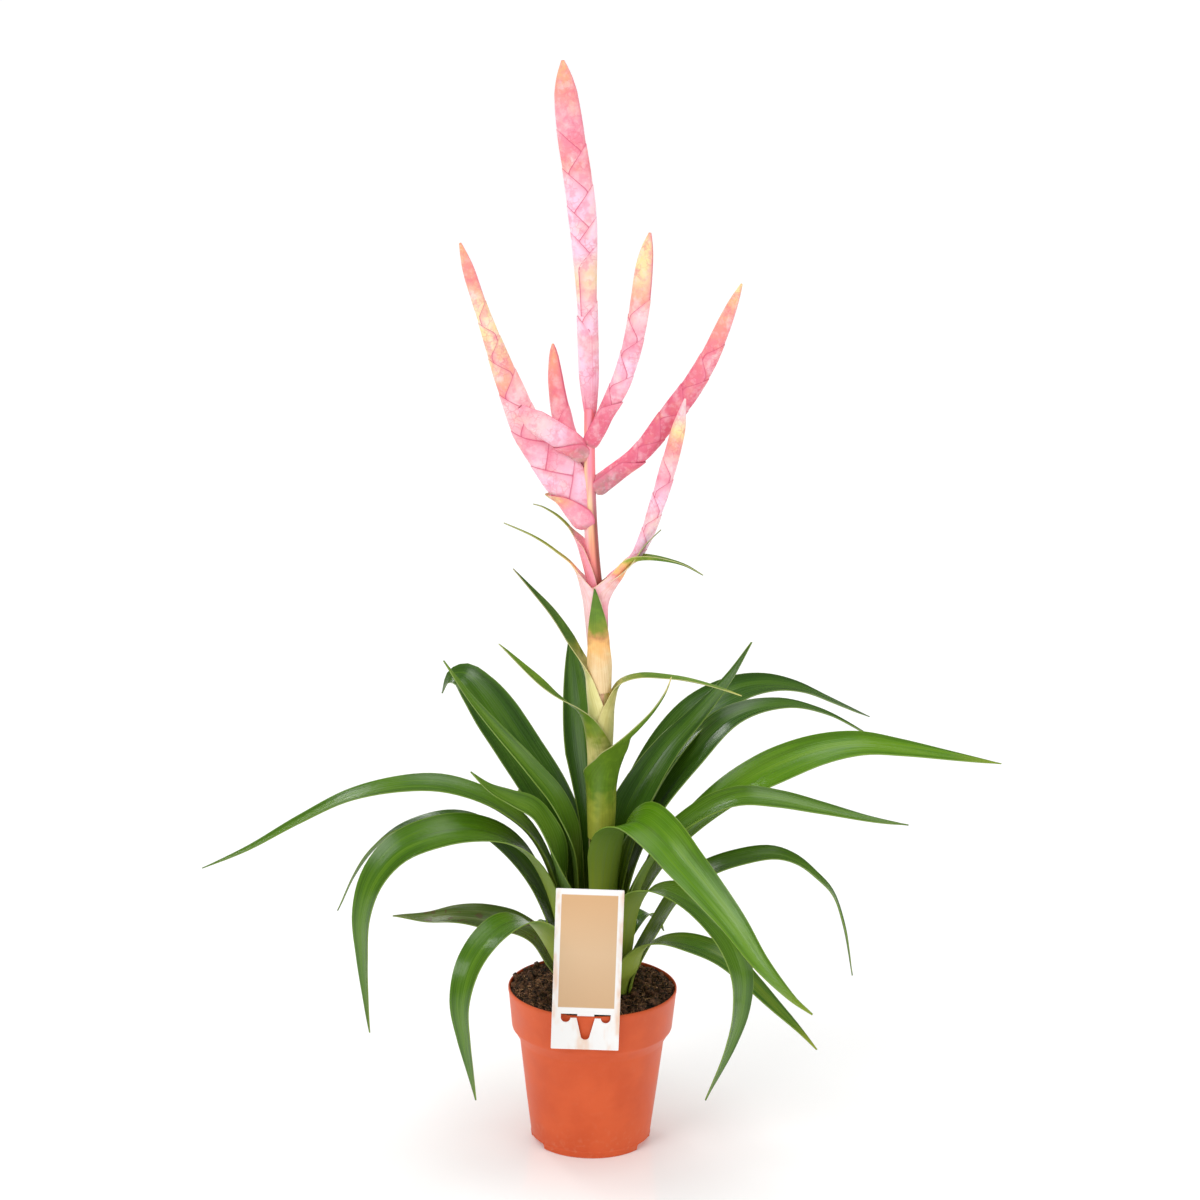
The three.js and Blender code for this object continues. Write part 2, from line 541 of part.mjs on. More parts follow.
// Spikes: flat, built of boat-shaped scales in two ranks, each overlapping the next. `widths` are
// pairs: a share of the spike's length and the spike's width there. A cover is the small bract
// that clasps the stem at the spike's foot.
const spikes = [
  { name: "spike_top", turn: 180, foot: 534,
    widths: [[0, 11], [0.1, 15], [0.38, 15], [0.58, 20], [0.85, 18.6], [0.94, 14.5], [1, 1.6]],
    path: [[-0.8, 533], [0.6, 560], [1.8, 590], [3.5, 625], [5.5, 660], [9, 690], [14, 720],
      [18, 748], [21, 776]] },
  { name: "spike_right_upper", turn: 330, foot: 520,
    widths: [[0, 11], [0.17, 12], [0.3, 14.6], [0.7, 15.4], [0.84, 13.8], [0.93, 9.6], [1, 1.6]],
    path: [[5, 519], [11, 532], [24, 558], [33, 586], [38, 614], [41, 640], [45, 664]],
    cover: { turn: 318, clasp: 95, halfWidth: 5.5,
      midrib: [[4.9, 513], [6.3, 520], [9, 527], [13, 534]] } },
  { name: "spike_back", turn: 140, foot: 492,
    widths: [[0, 10], [0.45, 17.6], [0.75, 12.8], [0.92, 7.4], [1, 1.4]],
    path: [[5, 492], [14.5, 507], [24.5, 524], [30.5, 546], [34.5, 577]] },
  { name: "spike_left_upper", turn: 202, foot: 506,
    widths: [[0, 14], [0.3, 17], [0.75, 15], [1, 3]],
    path: [[3, 504], [15.7, 513], [26, 519], [42, 529.5], [49, 539]],
    cover: { turn: 235, clasp: 50, halfWidth: 6,
      midrib: [[4.8, 496], [6, 503], [10, 510], [17, 516]] } },
  { name: "spike_left_lower", turn: 174, foot: 456,
    widths: [[0, 16], [0.12, 28], [0.3, 24], [0.5, 18.8], [0.62, 14.5], [0.75, 10.4], [0.92, 9], [1, 1.6]],
    path: [[4.6, 459], [17, 482], [37, 512], [44.5, 523], [55, 548], [64, 571], [71, 590.5],
      [78, 610], [91, 651]],
    cover: { turn: 190, clasp: 140, halfWidth: 6.5, strips: 6,
      midrib: [[6, 450], [6.8, 460], [8.5, 468], [16, 475], [23, 478.5], [30, 480]] } },
  { name: "spike_right_lower", turn: 4, foot: 484,
    widths: [[0, 15.5], [0.15, 13.2], [0.45, 16.8], [0.67, 14], [0.83, 11], [0.93, 7], [1, 1.4]],
    path: [[5, 483], [19, 493], [34, 505], [52, 528], [68, 550], [80, 571], [95, 607], [102, 624]],
    cover: { turn: 340, clasp: 100, halfWidth: 6.5,
      midrib: [[5.5, 473], [6.5, 480], [10, 487], [17, 493]] } },
  { name: "spike_right_thin", turn: 343, foot: 420,
    widths: [[0, 8], [0.35, 10.6], [0.65, 12], [0.85, 10.5], [1, 1.4]],
    path: [[7, 420], [16, 431], [26, 441], [33, 450], [39, 464], [47, 487], [54, 517], [61, 547]],
    cover: { turn: 345, clasp: 40, halfWidth: 3, strips: 2,
      midrib: [[9, 420], [20, 431], [31, 440], [37, 447], [48, 455]] } },
];

function widthAt(widths, u) {
  const next = Math.max(1, widths.findIndex(([place]) => place >= u));
  const [[from, narrow], [to, wide]] = [widths[next - 1], widths[next]];
  return mix(narrow, wide, (u - from) / (to - from));
}

function spikeGeometry({ turn, foot, path, widths, cover }) {
  const line = new THREE.CatmullRomCurve3(
    path.map(([out, up]) => new THREE.Vector3(out, 0, up)), false, "centripetal");
  const length = line.getLength();
  const upright = new THREE.Vector3(0, 0, 1);
  const heading = degrees(turn);
  const axis = stemOffset(foot);
  // A point of the spike's skin: `angle` is measured from the outer edge, `proud` is its relief.
  const skin = (u, angle, proud) => {
    const along = line.getTangentAt(THREE.MathUtils.clamp(u, 0, 1));
    const outer = new THREE.Vector3(along.z, 0, -along.x);
    const half = widthAt(widths, THREE.MathUtils.clamp(u, 0, 1)) / 2 - SCALE_RELIEF;
    const depth = Math.min(half * SPIKE_FLATNESS, SPIKE_DEEPEST) + SCALE_RELIEF;
    const point = line.getPointAt(THREE.MathUtils.clamp(u, 0, 1));
    point.addScaledVector(outer, (half + proud) * Math.cos(angle));
    point.y += (depth + proud) * Math.sin(angle);
    point.applyAxisAngle(upright, heading);
    point.x += axis;
    return point.toArray();
  };
  const count = Math.round(length / SCALE_PITCH) - 1;
  let spike;
  for (let k = 0; k < count; k++) {
    const scale = scaleSolid(skin, k / (count + 1), SCALE_LENGTH / (count + 1), k % 2);
    spike = spike ? spike.add(scale) : scale;
  }
  if (cover) spike = spike.add(toSolid(bractGeometry({ stations: 5, strips: 4, sheath: 0.6, ...cover })));
  if (foot < STEM_TOP) spike = spike.subtract(toSolid(stemSolid(CLEARANCE, foot - 30, foot + 40, 6)));
  const pieces = spike.decompose().sort((a, b) => b.volume() - a.volume());
  return toGeometry(pieces[0]);
}

// One boat-shaped scale, wrapped over one edge of the spike. Its margins cross both faces and meet
// at its tip. Its inner side is a keel that lies under the scales of the other rank.
function scaleSolid(skin, start, length, side) {
  const rows = [0, 0.6];
  const columns = [-1, -0.42, 0.42, 1];
  const centre = side * Math.PI;
  const points = [];
  for (const v of rows) {
    const reach = Math.acos(mix(SCALE_WRAP, 1, v));
    const proud = mix(-0.5, SCALE_RELIEF, v);
    for (const c of columns) {
      points.push(skin(start + v * length, centre + c * reach, proud));
    }
  }
  const tip = points.length;
  points.push(skin(Math.min(start + length, 1), centre, SCALE_RELIEF / 3));
  const keel = points.length;
  for (const v of rows) {
    const [near, far] = [centre, centre + Math.PI].map((angle) => skin(start + v * length, angle, 0));
    points.push(near.map((value, axis) => mix(value, far[axis], 0.8)));
  }
  const width = columns.length;
  const faces = [[0, width, keel], [width, keel + 1, keel], [width - 1, keel, 2 * width - 1],
    [2 * width - 1, keel, keel + 1], [width, tip, keel + 1], [tip, 2 * width - 1, keel + 1]];
  for (let j = 0; j < width - 1; j++) {
    faces.push([j, j + 1, j + width + 1], [j, j + width + 1, j + width]);
    faces.push([width + j, width + j + 1, tip], [j + 1, j, keel]);
  }
  return toSolid(makeGeometry(points, faces));
}

// Assembly

const plant = new THREE.Group();

function addPiece(group, name, geometry, colour, roughness) {
  const material = new THREE.MeshStandardMaterial({ color: colour, roughness, metalness: 0 });
  const mesh = new THREE.Mesh(geometry, material);
  mesh.name = name;
  group.add(mesh);
}

addPiece(plant, "pot", potGeometry(), 0xc9573a, 0.45);
addPiece(plant, "soil", soilGeometry(), 0x33231a, 0.95);
addPiece(plant, "card", cardGeometry(), 0xd6b48a, 0.5);
addPiece(plant, "flower_stem", stemSolid(0, CROWN_FOOT, STEM_TOP, 14), 0xe0a07a, 0.5);
for (const leaf of leaves) {
  addPiece(plant, leaf.name, leafGeometry(leaf), 0x3f7a2e, 0.35);
}
for (const bract of bracts) {
  addPiece(plant, bract.name, bractGeometry(bract), 0x9aa04a, 0.45);
}
for (const spike of spikes) {
  addPiece(plant, spike.name, spikeGeometry(spike), 0xf08fa0, 0.5);
}

export default plant;
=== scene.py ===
# %% [markdown]
# # A bromeliad in flower, in its nursery pot
#
# The plant is a rosette of strap leaves round one flower stem. The stem ends in flat pink spikes,
# each built of two ranks of folded bracts. It grows in peat, in a thin plastic pot, and a plant
# card hangs on the rim.
#
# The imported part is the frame: every piece below is built where its CAD solid stands, from the
# same named sizes and the same tables, and then stands for that solid. The CAD solids are coarse,
# so each piece keeps their form and adds what they leave out: smooth curves, folds and finish.

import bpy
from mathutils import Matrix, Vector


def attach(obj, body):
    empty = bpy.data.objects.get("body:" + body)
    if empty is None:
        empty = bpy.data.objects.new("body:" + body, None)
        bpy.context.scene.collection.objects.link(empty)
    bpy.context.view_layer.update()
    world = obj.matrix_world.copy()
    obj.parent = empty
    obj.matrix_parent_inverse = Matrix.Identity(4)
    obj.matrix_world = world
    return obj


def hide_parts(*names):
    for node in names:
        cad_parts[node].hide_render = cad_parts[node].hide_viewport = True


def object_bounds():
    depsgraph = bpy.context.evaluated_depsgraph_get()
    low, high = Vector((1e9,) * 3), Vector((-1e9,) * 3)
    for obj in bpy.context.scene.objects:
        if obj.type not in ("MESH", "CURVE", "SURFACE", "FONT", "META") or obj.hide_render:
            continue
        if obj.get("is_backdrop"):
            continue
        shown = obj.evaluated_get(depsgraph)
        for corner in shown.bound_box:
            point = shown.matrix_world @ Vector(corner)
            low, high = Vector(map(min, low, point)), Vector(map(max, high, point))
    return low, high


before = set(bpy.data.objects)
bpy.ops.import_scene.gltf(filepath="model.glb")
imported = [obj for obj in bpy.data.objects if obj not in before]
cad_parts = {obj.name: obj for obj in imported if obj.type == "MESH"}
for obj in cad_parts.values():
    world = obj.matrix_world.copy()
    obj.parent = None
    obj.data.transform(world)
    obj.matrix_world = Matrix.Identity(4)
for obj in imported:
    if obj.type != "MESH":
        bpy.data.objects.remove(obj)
cad_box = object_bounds()
print("pieces in the frame:", len(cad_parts))

# %% The other tools of this lesson
import math
import random

import bpy
from mathutils import Matrix, Quaternion, Vector, noise

MM = 0.001
UP = Vector((0, 0, 1))


def mix(a, b, share):
    return a + (b - a) * share


def smooth(value, low, high):
    share = min(max((value - low) / (high - low), 0), 1)
    return share * share * (3 - 2 * share)


# %% [markdown]
# ## The camera
#
# The photograph was taken with a long lens, from a little above the plant. A long lens keeps the
# pot's sides almost parallel. The camera stands 2.77 m in front of the pot and 1.2 m up, looks
# down by 16 degrees and is turned by less than one degree. It comes first, because all that
# follows is judged through it.

# %% Camera
EYE = Vector((1.5, -2770, 1198)) * MM
LOOK_DOWN = math.radians(16.06)
CAMERA_TURN = math.radians(0.8)
LENS = 124.8
SENSOR_WIDTH = 36
FARTHEST_SEEN = 100

level = Vector((1, 0, 0))
steep = Vector((0, math.sin(LOOK_DOWN), math.cos(LOOK_DOWN)))
backward = Vector((0, -math.cos(LOOK_DOWN), math.sin(LOOK_DOWN)))
picture_right = level * math.cos(CAMERA_TURN) + steep * math.sin(CAMERA_TURN)
picture_up = steep * math.cos(CAMERA_TURN) - level * math.sin(CAMERA_TURN)

bpy.ops.object.camera_add(location=EYE)
camera = bpy.context.object
camera.name = "photo_camera"
camera.rotation_euler = Matrix((picture_right, picture_up, backward)).transposed().to_euler()
camera.data.sensor_width = SENSOR_WIDTH
camera.data.lens = LENS
camera.data.clip_end = FARTHEST_SEEN
bpy.context.scene.camera = camera
print("camera distance to the pot in metres:", round(EYE.length, 2))

# %% [markdown]
# ## The studio
#
# The plant stands on a white sweep under large soft lights, and the picture is exposed until the
# sweep is almost pure white. A wide floor with a little light of its own, more with distance,
# gives that white at any angle, and its gloss gives the faint mirror image under the pot. Only the
# lamps are bright enough to glint on a leaf: what shines sees a dimmer sky, as it would in a dark
# room with light boxes. The Standard view keeps the colours as bright as in a printed catalogue.

# %% Floor, sky and lights
FLOOR_SIZE = 60
GLOW_REACH = 12.0
GLOW = [(0, 0.08), (0.0067, 0.08), (0.0125, 0.15), (0.0625, 0.17), (0.116, 0.28),
        (0.24, 0.48), (0.479, 0.62), (1, 0.75)]
SKY_LIGHT = 0.66
SKY_GLINT = 0.15


class Recipe:
    """A node tree that is written down step by step."""

    def __init__(self, tree):
        self.tree = tree

    def add(self, kind, inputs=(), **settings):
        node = self.tree.nodes.new("ShaderNode" + kind)
        for name, value in settings.items():
            setattr(node, name, value)
        for name, value in dict(inputs).items():
            self.feed(node.inputs[name], value)
        return node

    def feed(self, socket, value):
        if isinstance(value, bpy.types.NodeSocket):
            self.tree.links.new(value, socket)
        elif socket.type == "RGBA":
            socket.default_value = (*value, 1)
        else:
            socket.default_value = value

    def maths(self, operation, a, b=0.0, c=0.0):
        node = self.add("Math", {0: a, 1: b, 2: c}, operation=operation)
        return node.outputs[0]

    def times(self, a, b):
        return self.maths("MULTIPLY", a, b)

    def grain(self, place, scale, detail=2.0):
        """Soft random values, from 0 to 1."""
        return self.add("TexNoise", {"Vector": place, "Scale": scale, "Detail": detail}).outputs["Fac"]

    def between(self, value, low, high, to_low=0.0, to_high=1.0):
        """Eases from one number to another while value goes from low to high."""
        span = {"Value": value, "From Min": low, "From Max": high, "To Min": to_low, "To Max": to_high}
        return self.add("MapRange", span, interpolation_type="SMOOTHSTEP").outputs["Result"]

    def tint(self, factor, a, b, way="MIX"):
        """Mixes two colours."""
        node = self.add("Mix", {0: factor, 6: a, 7: b}, data_type="RGBA", blend_type=way)
        return node.outputs[2]

    def ramp(self, value, stops):
        """A row of colours along a value: stops are (place, colour)."""
        node = self.add("ValToRGB", {"Fac": value})
        row = node.color_ramp.elements
        while len(row) < len(stops):
            row.new(1)
        for element, (place, colour) in zip(row, stops):
            element.position = place
            element.color = (*colour, 1)
        return node.outputs["Color"]

    def placed(self, group, inputs):
        """Places a shader node group."""
        node = self.add("Group", node_tree=group)
        for name, value in inputs.items():
            self.feed(node.inputs[name], value)
        return node


class Finish(Recipe):
    """A material with one Principled shader: surface gives the shader's own even values."""

    def __init__(self, name, **surface):
        self.material = bpy.data.materials.new(name)
        self.material.use_nodes = True
        super().__init__(self.material.node_tree)
        self.surface = self.tree.nodes["Principled BSDF"].inputs
        for socket, value in surface.items():
            self.surface[socket.replace("_", " ")].default_value = value
        places = self.add("TexCoord").outputs
        self.place, self.uv = places["Object"], places["UV"]
        self.colour = None

    def over(self, mask, colour, way="MIX"):
        """Lays a colour over the colour so far, where the mask is."""
        self.colour = self.tint(mask, self.colour, colour, way)

    def drive(self, socket, value):
        self.feed(self.surface[socket], value)

    def finished(self, relief=None, strength=0.0, distance=0.0):
        """Feeds the colour, and a bump for relief that is too fine for the mesh."""
        self.drive("Base Color", self.colour)
        if relief is not None:
            bump = self.add("Bump", {"Height": relief, "Strength": strength, "Distance": distance})
            self.drive("Normal", bump.outputs["Normal"])
        return self.material


def only(obj):
    """Selects one object and nothing else."""
    bpy.ops.object.select_all(action="DESELECT")
    obj.select_set(True)
    bpy.context.view_layer.objects.active = obj
    return obj


def added(name):
    """Names the primitive that an operator has just added, and keeps only that selected."""
    obj = bpy.context.object
    obj.name = name
    obj.data.name = name
    return only(obj)


bpy.ops.object.select_all(action="DESELECT")
bpy.ops.mesh.primitive_plane_add(size=FLOOR_SIZE)
floor = added("studio_floor")
sweep = Finish("white_sweep", Roughness=0.12, Emission_Strength=1.0)
sweep.colour = sweep.tint(sweep.grain(sweep.place, 3.0), (0.93, 0.93, 0.93), (0.95, 0.95, 0.95))
away = sweep.add("VectorMath", {0: sweep.place}, operation="LENGTH").outputs["Value"]
stops = [(share, (glow,) * 3) for share, glow in GLOW]
sweep.drive("Emission Color", sweep.ramp(sweep.maths("DIVIDE", away, GLOW_REACH), stops))
floor.data.materials.append(sweep.finished())
floor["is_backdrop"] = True

sky = bpy.data.worlds.new("studio_sky")
sky.use_nodes = True
air = Recipe(sky.node_tree)
glint = air.add("LightPath").outputs["Is Glossy Ray"]
background = sky.node_tree.nodes["Background"].inputs
background["Color"].default_value = (1, 1, 1, 1)
air.feed(background["Strength"], air.between(glint, 0.0, 1.0, SKY_LIGHT, SKY_GLINT))
bpy.context.scene.world = sky
bpy.context.scene.view_settings.view_transform = "Standard"


def soft_light(name, place, target, size, watts):
    bpy.ops.object.light_add(type="AREA", location=place)
    lamp = bpy.context.object
    lamp.name = name
    lamp.data.size = size
    lamp.data.energy = watts
    away = Vector(place) - Vector(target)
    lamp.rotation_euler = away.to_track_quat("Z", "Y").to_euler()
    return lamp


MIDDLE = (0, 0, 0.35)
soft_light("key_light", (-1.5, -1.7, 2.2), MIDDLE, 1.4, 34)
soft_light("fill_light", (2.1, -1.5, 1.3), MIDDLE, 1.6, 14)
soft_light("top_light", (0.3, 0.6, 2.6), MIDDLE, 1.6, 20)
soft_light("rim_light", (-1.1, 1.7, 1.6), MIDDLE, 0.5, 8)

# %% [markdown]
# ## Effects that several finishes share
#
# Real surfaces are never one flat colour. Four effects return in many of the finishes, so each
# is a node group with named inputs, placed with other values in each material:
#
# - **mottle** breaks a colour up into soft patches, from the place on the object,
# - **strap_marks** gives what every leaf, bract and scale shows, from its own UV map: fine ribs
#   that run lengthwise and a thin line along both margins,
# - **veins** draws the fine net of darker lines that soft, drying bracts show,
# - **strap_tints** goes from the colour of the foot over the blade to the tip.

# %% The shared groups
PATCH_LOW = 0.35
PATCH_HIGH = 0.65


def new_group(name, inputs, outputs):
    """Starts a group: inputs and outputs are (name, kind, default value)."""
    group = bpy.data.node_groups.new(name, "ShaderNodeTree")
    for way, sockets in (("INPUT", inputs), ("OUTPUT", outputs)):
        for label, kind, value in sockets:
            made = group.interface.new_socket(label, in_out=way, socket_type="NodeSocket" + kind)
            if value is not None:
                made.default_value = value
    recipe = Recipe(group)
    taken = group.nodes.new("NodeGroupInput").outputs
    given = group.nodes.new("NodeGroupOutput").inputs
    return group, recipe, taken, given


mottle, recipe, taken, given = new_group(
    "mottle",
    [("Place", "Vector", None), ("Size", "Float", 1.0), ("Low", "Float", PATCH_LOW),
     ("High", "Float", PATCH_HIGH)],
    [("Mask", "Float", None)],
)
size = recipe.maths("DIVIDE", 1.0, taken["Size"])
cloud = recipe.grain(taken["Place"], size, 3.0)
recipe.feed(given["Mask"], recipe.between(cloud, taken["Low"], taken["High"]))

strap_marks, recipe, taken, given = new_group(
    "strap_marks",
    [("UV", "Vector", None), ("Ribs", "Float", 40.0), ("Margin", "Float", 0.02)],
    [("Rib", "Float", None), ("Margin", "Float", None), ("Across", "Float", None),
     ("Along", "Float", None)],
)
split = recipe.add("SeparateXYZ", {"Vector": taken["UV"]}).outputs
across = recipe.maths("ABSOLUTE", recipe.maths("MULTIPLY_ADD", split["X"], 2.0, -1.0))
drawn = {"X": recipe.times(split["X"], taken["Ribs"]), "Y": recipe.times(split["Y"], 2.0)}
grain = recipe.add("CombineXYZ", drawn)
rib = recipe.add("TexNoise", {"Vector": grain.outputs[0], "Scale": 1.0}, noise_dimensions="2D")
inner = recipe.maths("SUBTRACT", 1.0, recipe.times(taken["Margin"], 2.0))
recipe.feed(given["Rib"], rib.outputs["Fac"])
recipe.feed(given["Margin"], recipe.between(across, inner, 1.0))
recipe.feed(given["Across"], across)
recipe.feed(given["Along"], split["Y"])

veins, recipe, taken, given = new_group(
    "veins", [("Place", "Vector", None), ("Size", "Float", 1.0)], [("Mask", "Float", None)])
bends = recipe.maths("DIVIDE", 1.2, taken["Size"])
wander = recipe.add("TexNoise", {"Vector": taken["Place"], "Scale": bends})
shift = {0: wander.outputs["Color"], 1: taken["Size"], 2: taken["Place"]}
moved = recipe.add("VectorMath", shift, operation="MULTIPLY_ADD")
cells = recipe.maths("DIVIDE", 1.0, taken["Size"])
net = recipe.add("TexVoronoi", {"Vector": moved.outputs[0], "Scale": cells}, feature="DISTANCE_TO_EDGE")
recipe.feed(given["Mask"], recipe.between(net.outputs["Distance"], 0.11, 0.0))

strap_tints, recipe, taken, given = new_group(
    "strap_tints",
    [("Along", "Float", 0.0), ("Foot", "Color", None), ("Blade", "Color", None), ("Tip", "Color", None),
     ("Foot from", "Float", 0.1), ("Foot to", "Float", 0.4), ("Tip from", "Float", 0.85),
     ("Tip to", "Float", 1.0)],
    [("Color", "Color", None)],
)
risen = recipe.between(taken["Along"], taken["Foot from"], taken["Foot to"])
ended = recipe.between(taken["Along"], taken["Tip from"], taken["Tip to"])
body = recipe.tint(risen, taken["Foot"], taken["Blade"])
recipe.feed(given["Color"], recipe.tint(ended, body, taken["Tip"]))


def mottled(coat, size, low=PATCH_LOW, high=PATCH_HIGH, place=None):
    """The soft patches, as a mask."""
    place = coat.place if place is None else place
    return coat.placed(mottle, {"Place": place, "Size": size, "Low": low, "High": high}).outputs["Mask"]


def ribbed(coat, ribs, margin=0.02):
    """The ribs and margins of a strap, as masks."""
    return coat.placed(strap_marks, {"UV": coat.uv, "Ribs": ribs, "Margin": margin}).outputs


print("shared groups:", [g.name for g in (mottle, strap_marks, veins, strap_tints)])

# %% [markdown]
# ## The pot
#
# The pot is thin moulded plastic: a tapered body, a step, and a wide band that stiffens the rim. By
# hand it is drawn upward from its foot: a disc, extruded and resized again and again, gives each
# line that runs round the pot. Two such forms are made, the outside and the hollow, and a Boolean
# takes one from the other. Three bites at the foot let water out from under the pot. They are
# recesses, so the hollow steps in behind them and the wall keeps its thickness.

# %% Pot
POT_HEIGHT = 115
RIM_RADIUS = 60
BAND_FOOT_RADIUS = 57
BAND_FOOT = 85
BODY_TOP_RADIUS = 51.5
BODY_TOP = 77
FOOT_RADIUS = 42.3
WALL = 1.3
FLOOR = 2.2
POT_SIDES = 144
BITE_TURNS = (90, 201, 340)
BITE_HALF_ANGLE = 18
BITE_HEIGHT = 4.4
BITE_DEPTH = 4.5
BITE_OUTSIDE = 6
BITE_BELOW = 4
BITE_ROUNDING = 1.6
DRAIN_RADIUS = 3.5
DRAIN_RING = 24
DRAIN_COUNT = 6
FOOT_LIP = 5.2


def edit_all():
    """Opens a mesh for editing, with all of it selected."""
    bpy.ops.object.mode_set(mode="EDIT")
    bpy.ops.mesh.select_all(action="SELECT")


def extrude(x, y, z):
    """Draws what is selected out by a step in millimetres."""
    bpy.ops.mesh.extrude_region_move(TRANSFORM_OT_translate={"value": (x * MM, y * MM, z * MM)})


def close_edit():
    """Turns every face outward and closes the editing."""
    bpy.ops.mesh.select_all(action="SELECT")
    bpy.ops.mesh.normals_make_consistent(inside=False)
    bpy.ops.object.mode_set(mode="OBJECT")


def turned(name, outline, sides=POT_SIDES):
    """A round solid, drawn upward from a disc: outline is a list of (radius, height)."""
    radius, height = outline[0]
    bpy.ops.mesh.primitive_circle_add(
        vertices=sides, radius=radius * MM, fill_type="NGON", location=(0, 0, height * MM))
    obj = added(name)
    edit_all()
    for next_radius, next_height in outline[1:]:
        extrude(0, 0, next_height - height)
        share = next_radius / radius
        bpy.ops.transform.resize(value=(share, share, 1), center_override=(0, 0, next_height * MM))
        radius, height = next_radius, next_height
    close_edit()
    return settle(obj)


def settle(obj):
    """Puts the object at the origin, unturned and unscaled, with its place in its mesh."""
    only(obj)
    bpy.ops.object.transform_apply(location=True, rotation=True, scale=True)
    return obj


def apply_all(obj):
    only(obj)
    for modifier in list(obj.modifiers):
        bpy.ops.object.modifier_apply(modifier=modifier.name)
    return obj


def carve(obj, *cutters, way="DIFFERENCE"):
    """Cuts the other solids out of obj, or joins them to it, and removes them."""
    for cutter in cutters:
        cut = obj.modifiers.new("cut", "BOOLEAN")
        cut.operation = way
        cut.object = cutter
        cut.solver = "EXACT"
        apply_all(obj)
        bpy.data.objects.remove(cutter)
    return obj


def shade(obj, angle):
    """Smooth shading, with edges sharper than the angle kept."""
    only(obj)
    bpy.ops.object.shade_smooth_by_angle(angle=math.radians(angle))
    return obj


def flat_face(name, corners):
    """One flat face with these corners, in millimetres."""
    bpy.ops.object.select_all(action="DESELECT")
    bpy.ops.mesh.primitive_circle_add(
        vertices=len(corners), radius=1, fill_type="NGON", location=(0, 0, 0))
    obj = added(name)
    for point, corner in zip(obj.data.vertices, corners):
        point.co = Vector(corner) * MM
    return obj


def bite(turn, margin):
    """A short piece of ring at the pot's foot, grown all round by margin."""
    steps = 10
    half = math.radians(BITE_HALF_ANGLE) + margin / FOOT_RADIUS
    inner = FOOT_RADIUS - BITE_DEPTH - margin
    angles = [math.radians(turn) + mix(-half, half, k / steps) for k in range(steps + 1)]
    ends = [(inner, a) for a in angles] + [(FOOT_RADIUS + BITE_OUTSIDE, a) for a in reversed(angles)]
    obj = flat_face("bite", [(out * math.cos(a), out * math.sin(a), -BITE_BELOW) for out, a in ends])
    edit_all()
    extrude(0, 0, BITE_HEIGHT + margin + BITE_BELOW)
    close_edit()
    rounding = obj.modifiers.new("rounding", "BEVEL")
    rounding.width = BITE_ROUNDING * MM
    rounding.segments = 3
    rounding.limit_method = "ANGLE"
    return apply_all(obj)


pot = turned("pot_body", [
    (FOOT_RADIUS - 0.6, 0), (FOOT_RADIUS, 0.6), (FOOT_RADIUS + 0.6, FOOT_LIP - 0.5),
    (FOOT_RADIUS + 0.35, FOOT_LIP), (mix(FOOT_RADIUS, BODY_TOP_RADIUS, 0.5), BODY_TOP / 2),
    (BODY_TOP_RADIUS - 0.2, BODY_TOP - 1.5), (BODY_TOP_RADIUS + 0.5, BODY_TOP + 0.4),
    (BAND_FOOT_RADIUS - 1.4, BAND_FOOT - 1.2), (BAND_FOOT_RADIUS - 0.3, BAND_FOOT),
    (BAND_FOOT_RADIUS + 0.1, BAND_FOOT + 1.2), (RIM_RADIUS - 0.35, POT_HEIGHT - 3.2),
    (RIM_RADIUS, POT_HEIGHT - 2.4), (RIM_RADIUS, POT_HEIGHT - 0.6),
    (RIM_RADIUS - 0.25, POT_HEIGHT - 0.15), (RIM_RADIUS - 0.6, POT_HEIGHT),
])
hollow = turned("hollow", [
    (FOOT_RADIUS - WALL - 0.8, FLOOR), (FOOT_RADIUS - WALL, FLOOR + 0.8),
    (BODY_TOP_RADIUS - WALL, BODY_TOP), (BAND_FOOT_RADIUS - WALL, BAND_FOOT),
    (RIM_RADIUS - WALL, POT_HEIGHT - 0.5), (RIM_RADIUS - WALL + 0.4, POT_HEIGHT),
    (RIM_RADIUS - WALL + 0.4, POT_HEIGHT + 6),
])
carve(hollow, *[bite(turn, WALL) for turn in BITE_TURNS])
carve(pot, *[bite(turn, 0) for turn in BITE_TURNS])
carve(pot, hollow)
for k in range(DRAIN_COUNT):
    angle = 2 * math.pi * k / DRAIN_COUNT
    bpy.ops.mesh.primitive_cylinder_add(
        vertices=32, radius=DRAIN_RADIUS * MM, depth=8 * MM,
        location=(DRAIN_RING * MM * math.cos(angle), DRAIN_RING * MM * math.sin(angle), MM))
    carve(pot, added("drain"))
shade(pot, 32)
print("pot faces:", len(pot.data.polygons), "height in mm:", round(pot.dimensions.z / MM, 1))

# %% [markdown]
# The plastic is a satin orange-red with a fine skin from the mould. The colour is not quite even:
# it is a shade deeper in soft patches, and a little dusty toward the foot. A finer noise in the
# bump breaks up the highlight.

# %% Pot plastic
plastic = Finish("terracotta_plastic", Roughness=0.45, Specular_IOR_Level=0.2)
patches = mottled(plastic, 0.03)
dust = mottled(plastic, 0.004, 0.5, 0.8)
height = plastic.add("SeparateXYZ", {"Vector": plastic.place}).outputs["Z"]
low_down = plastic.between(height, 0.03, 0.0)
plastic.colour = plastic.tint(patches, (0.68, 0.103, 0.03), (0.75, 0.124, 0.038))
worn = plastic.times(dust, plastic.maths("MULTIPLY_ADD", low_down, 0.25, 0.05))
plastic.over(worn, (0.78, 0.3, 0.17))
plastic.drive("Roughness", plastic.between(patches, 0.0, 1.0, 0.38, 0.47))
skin_grain = plastic.grain(plastic.place, 900.0)
pot_coat = plastic.finished(skin_grain, 0.12, 0.0004)


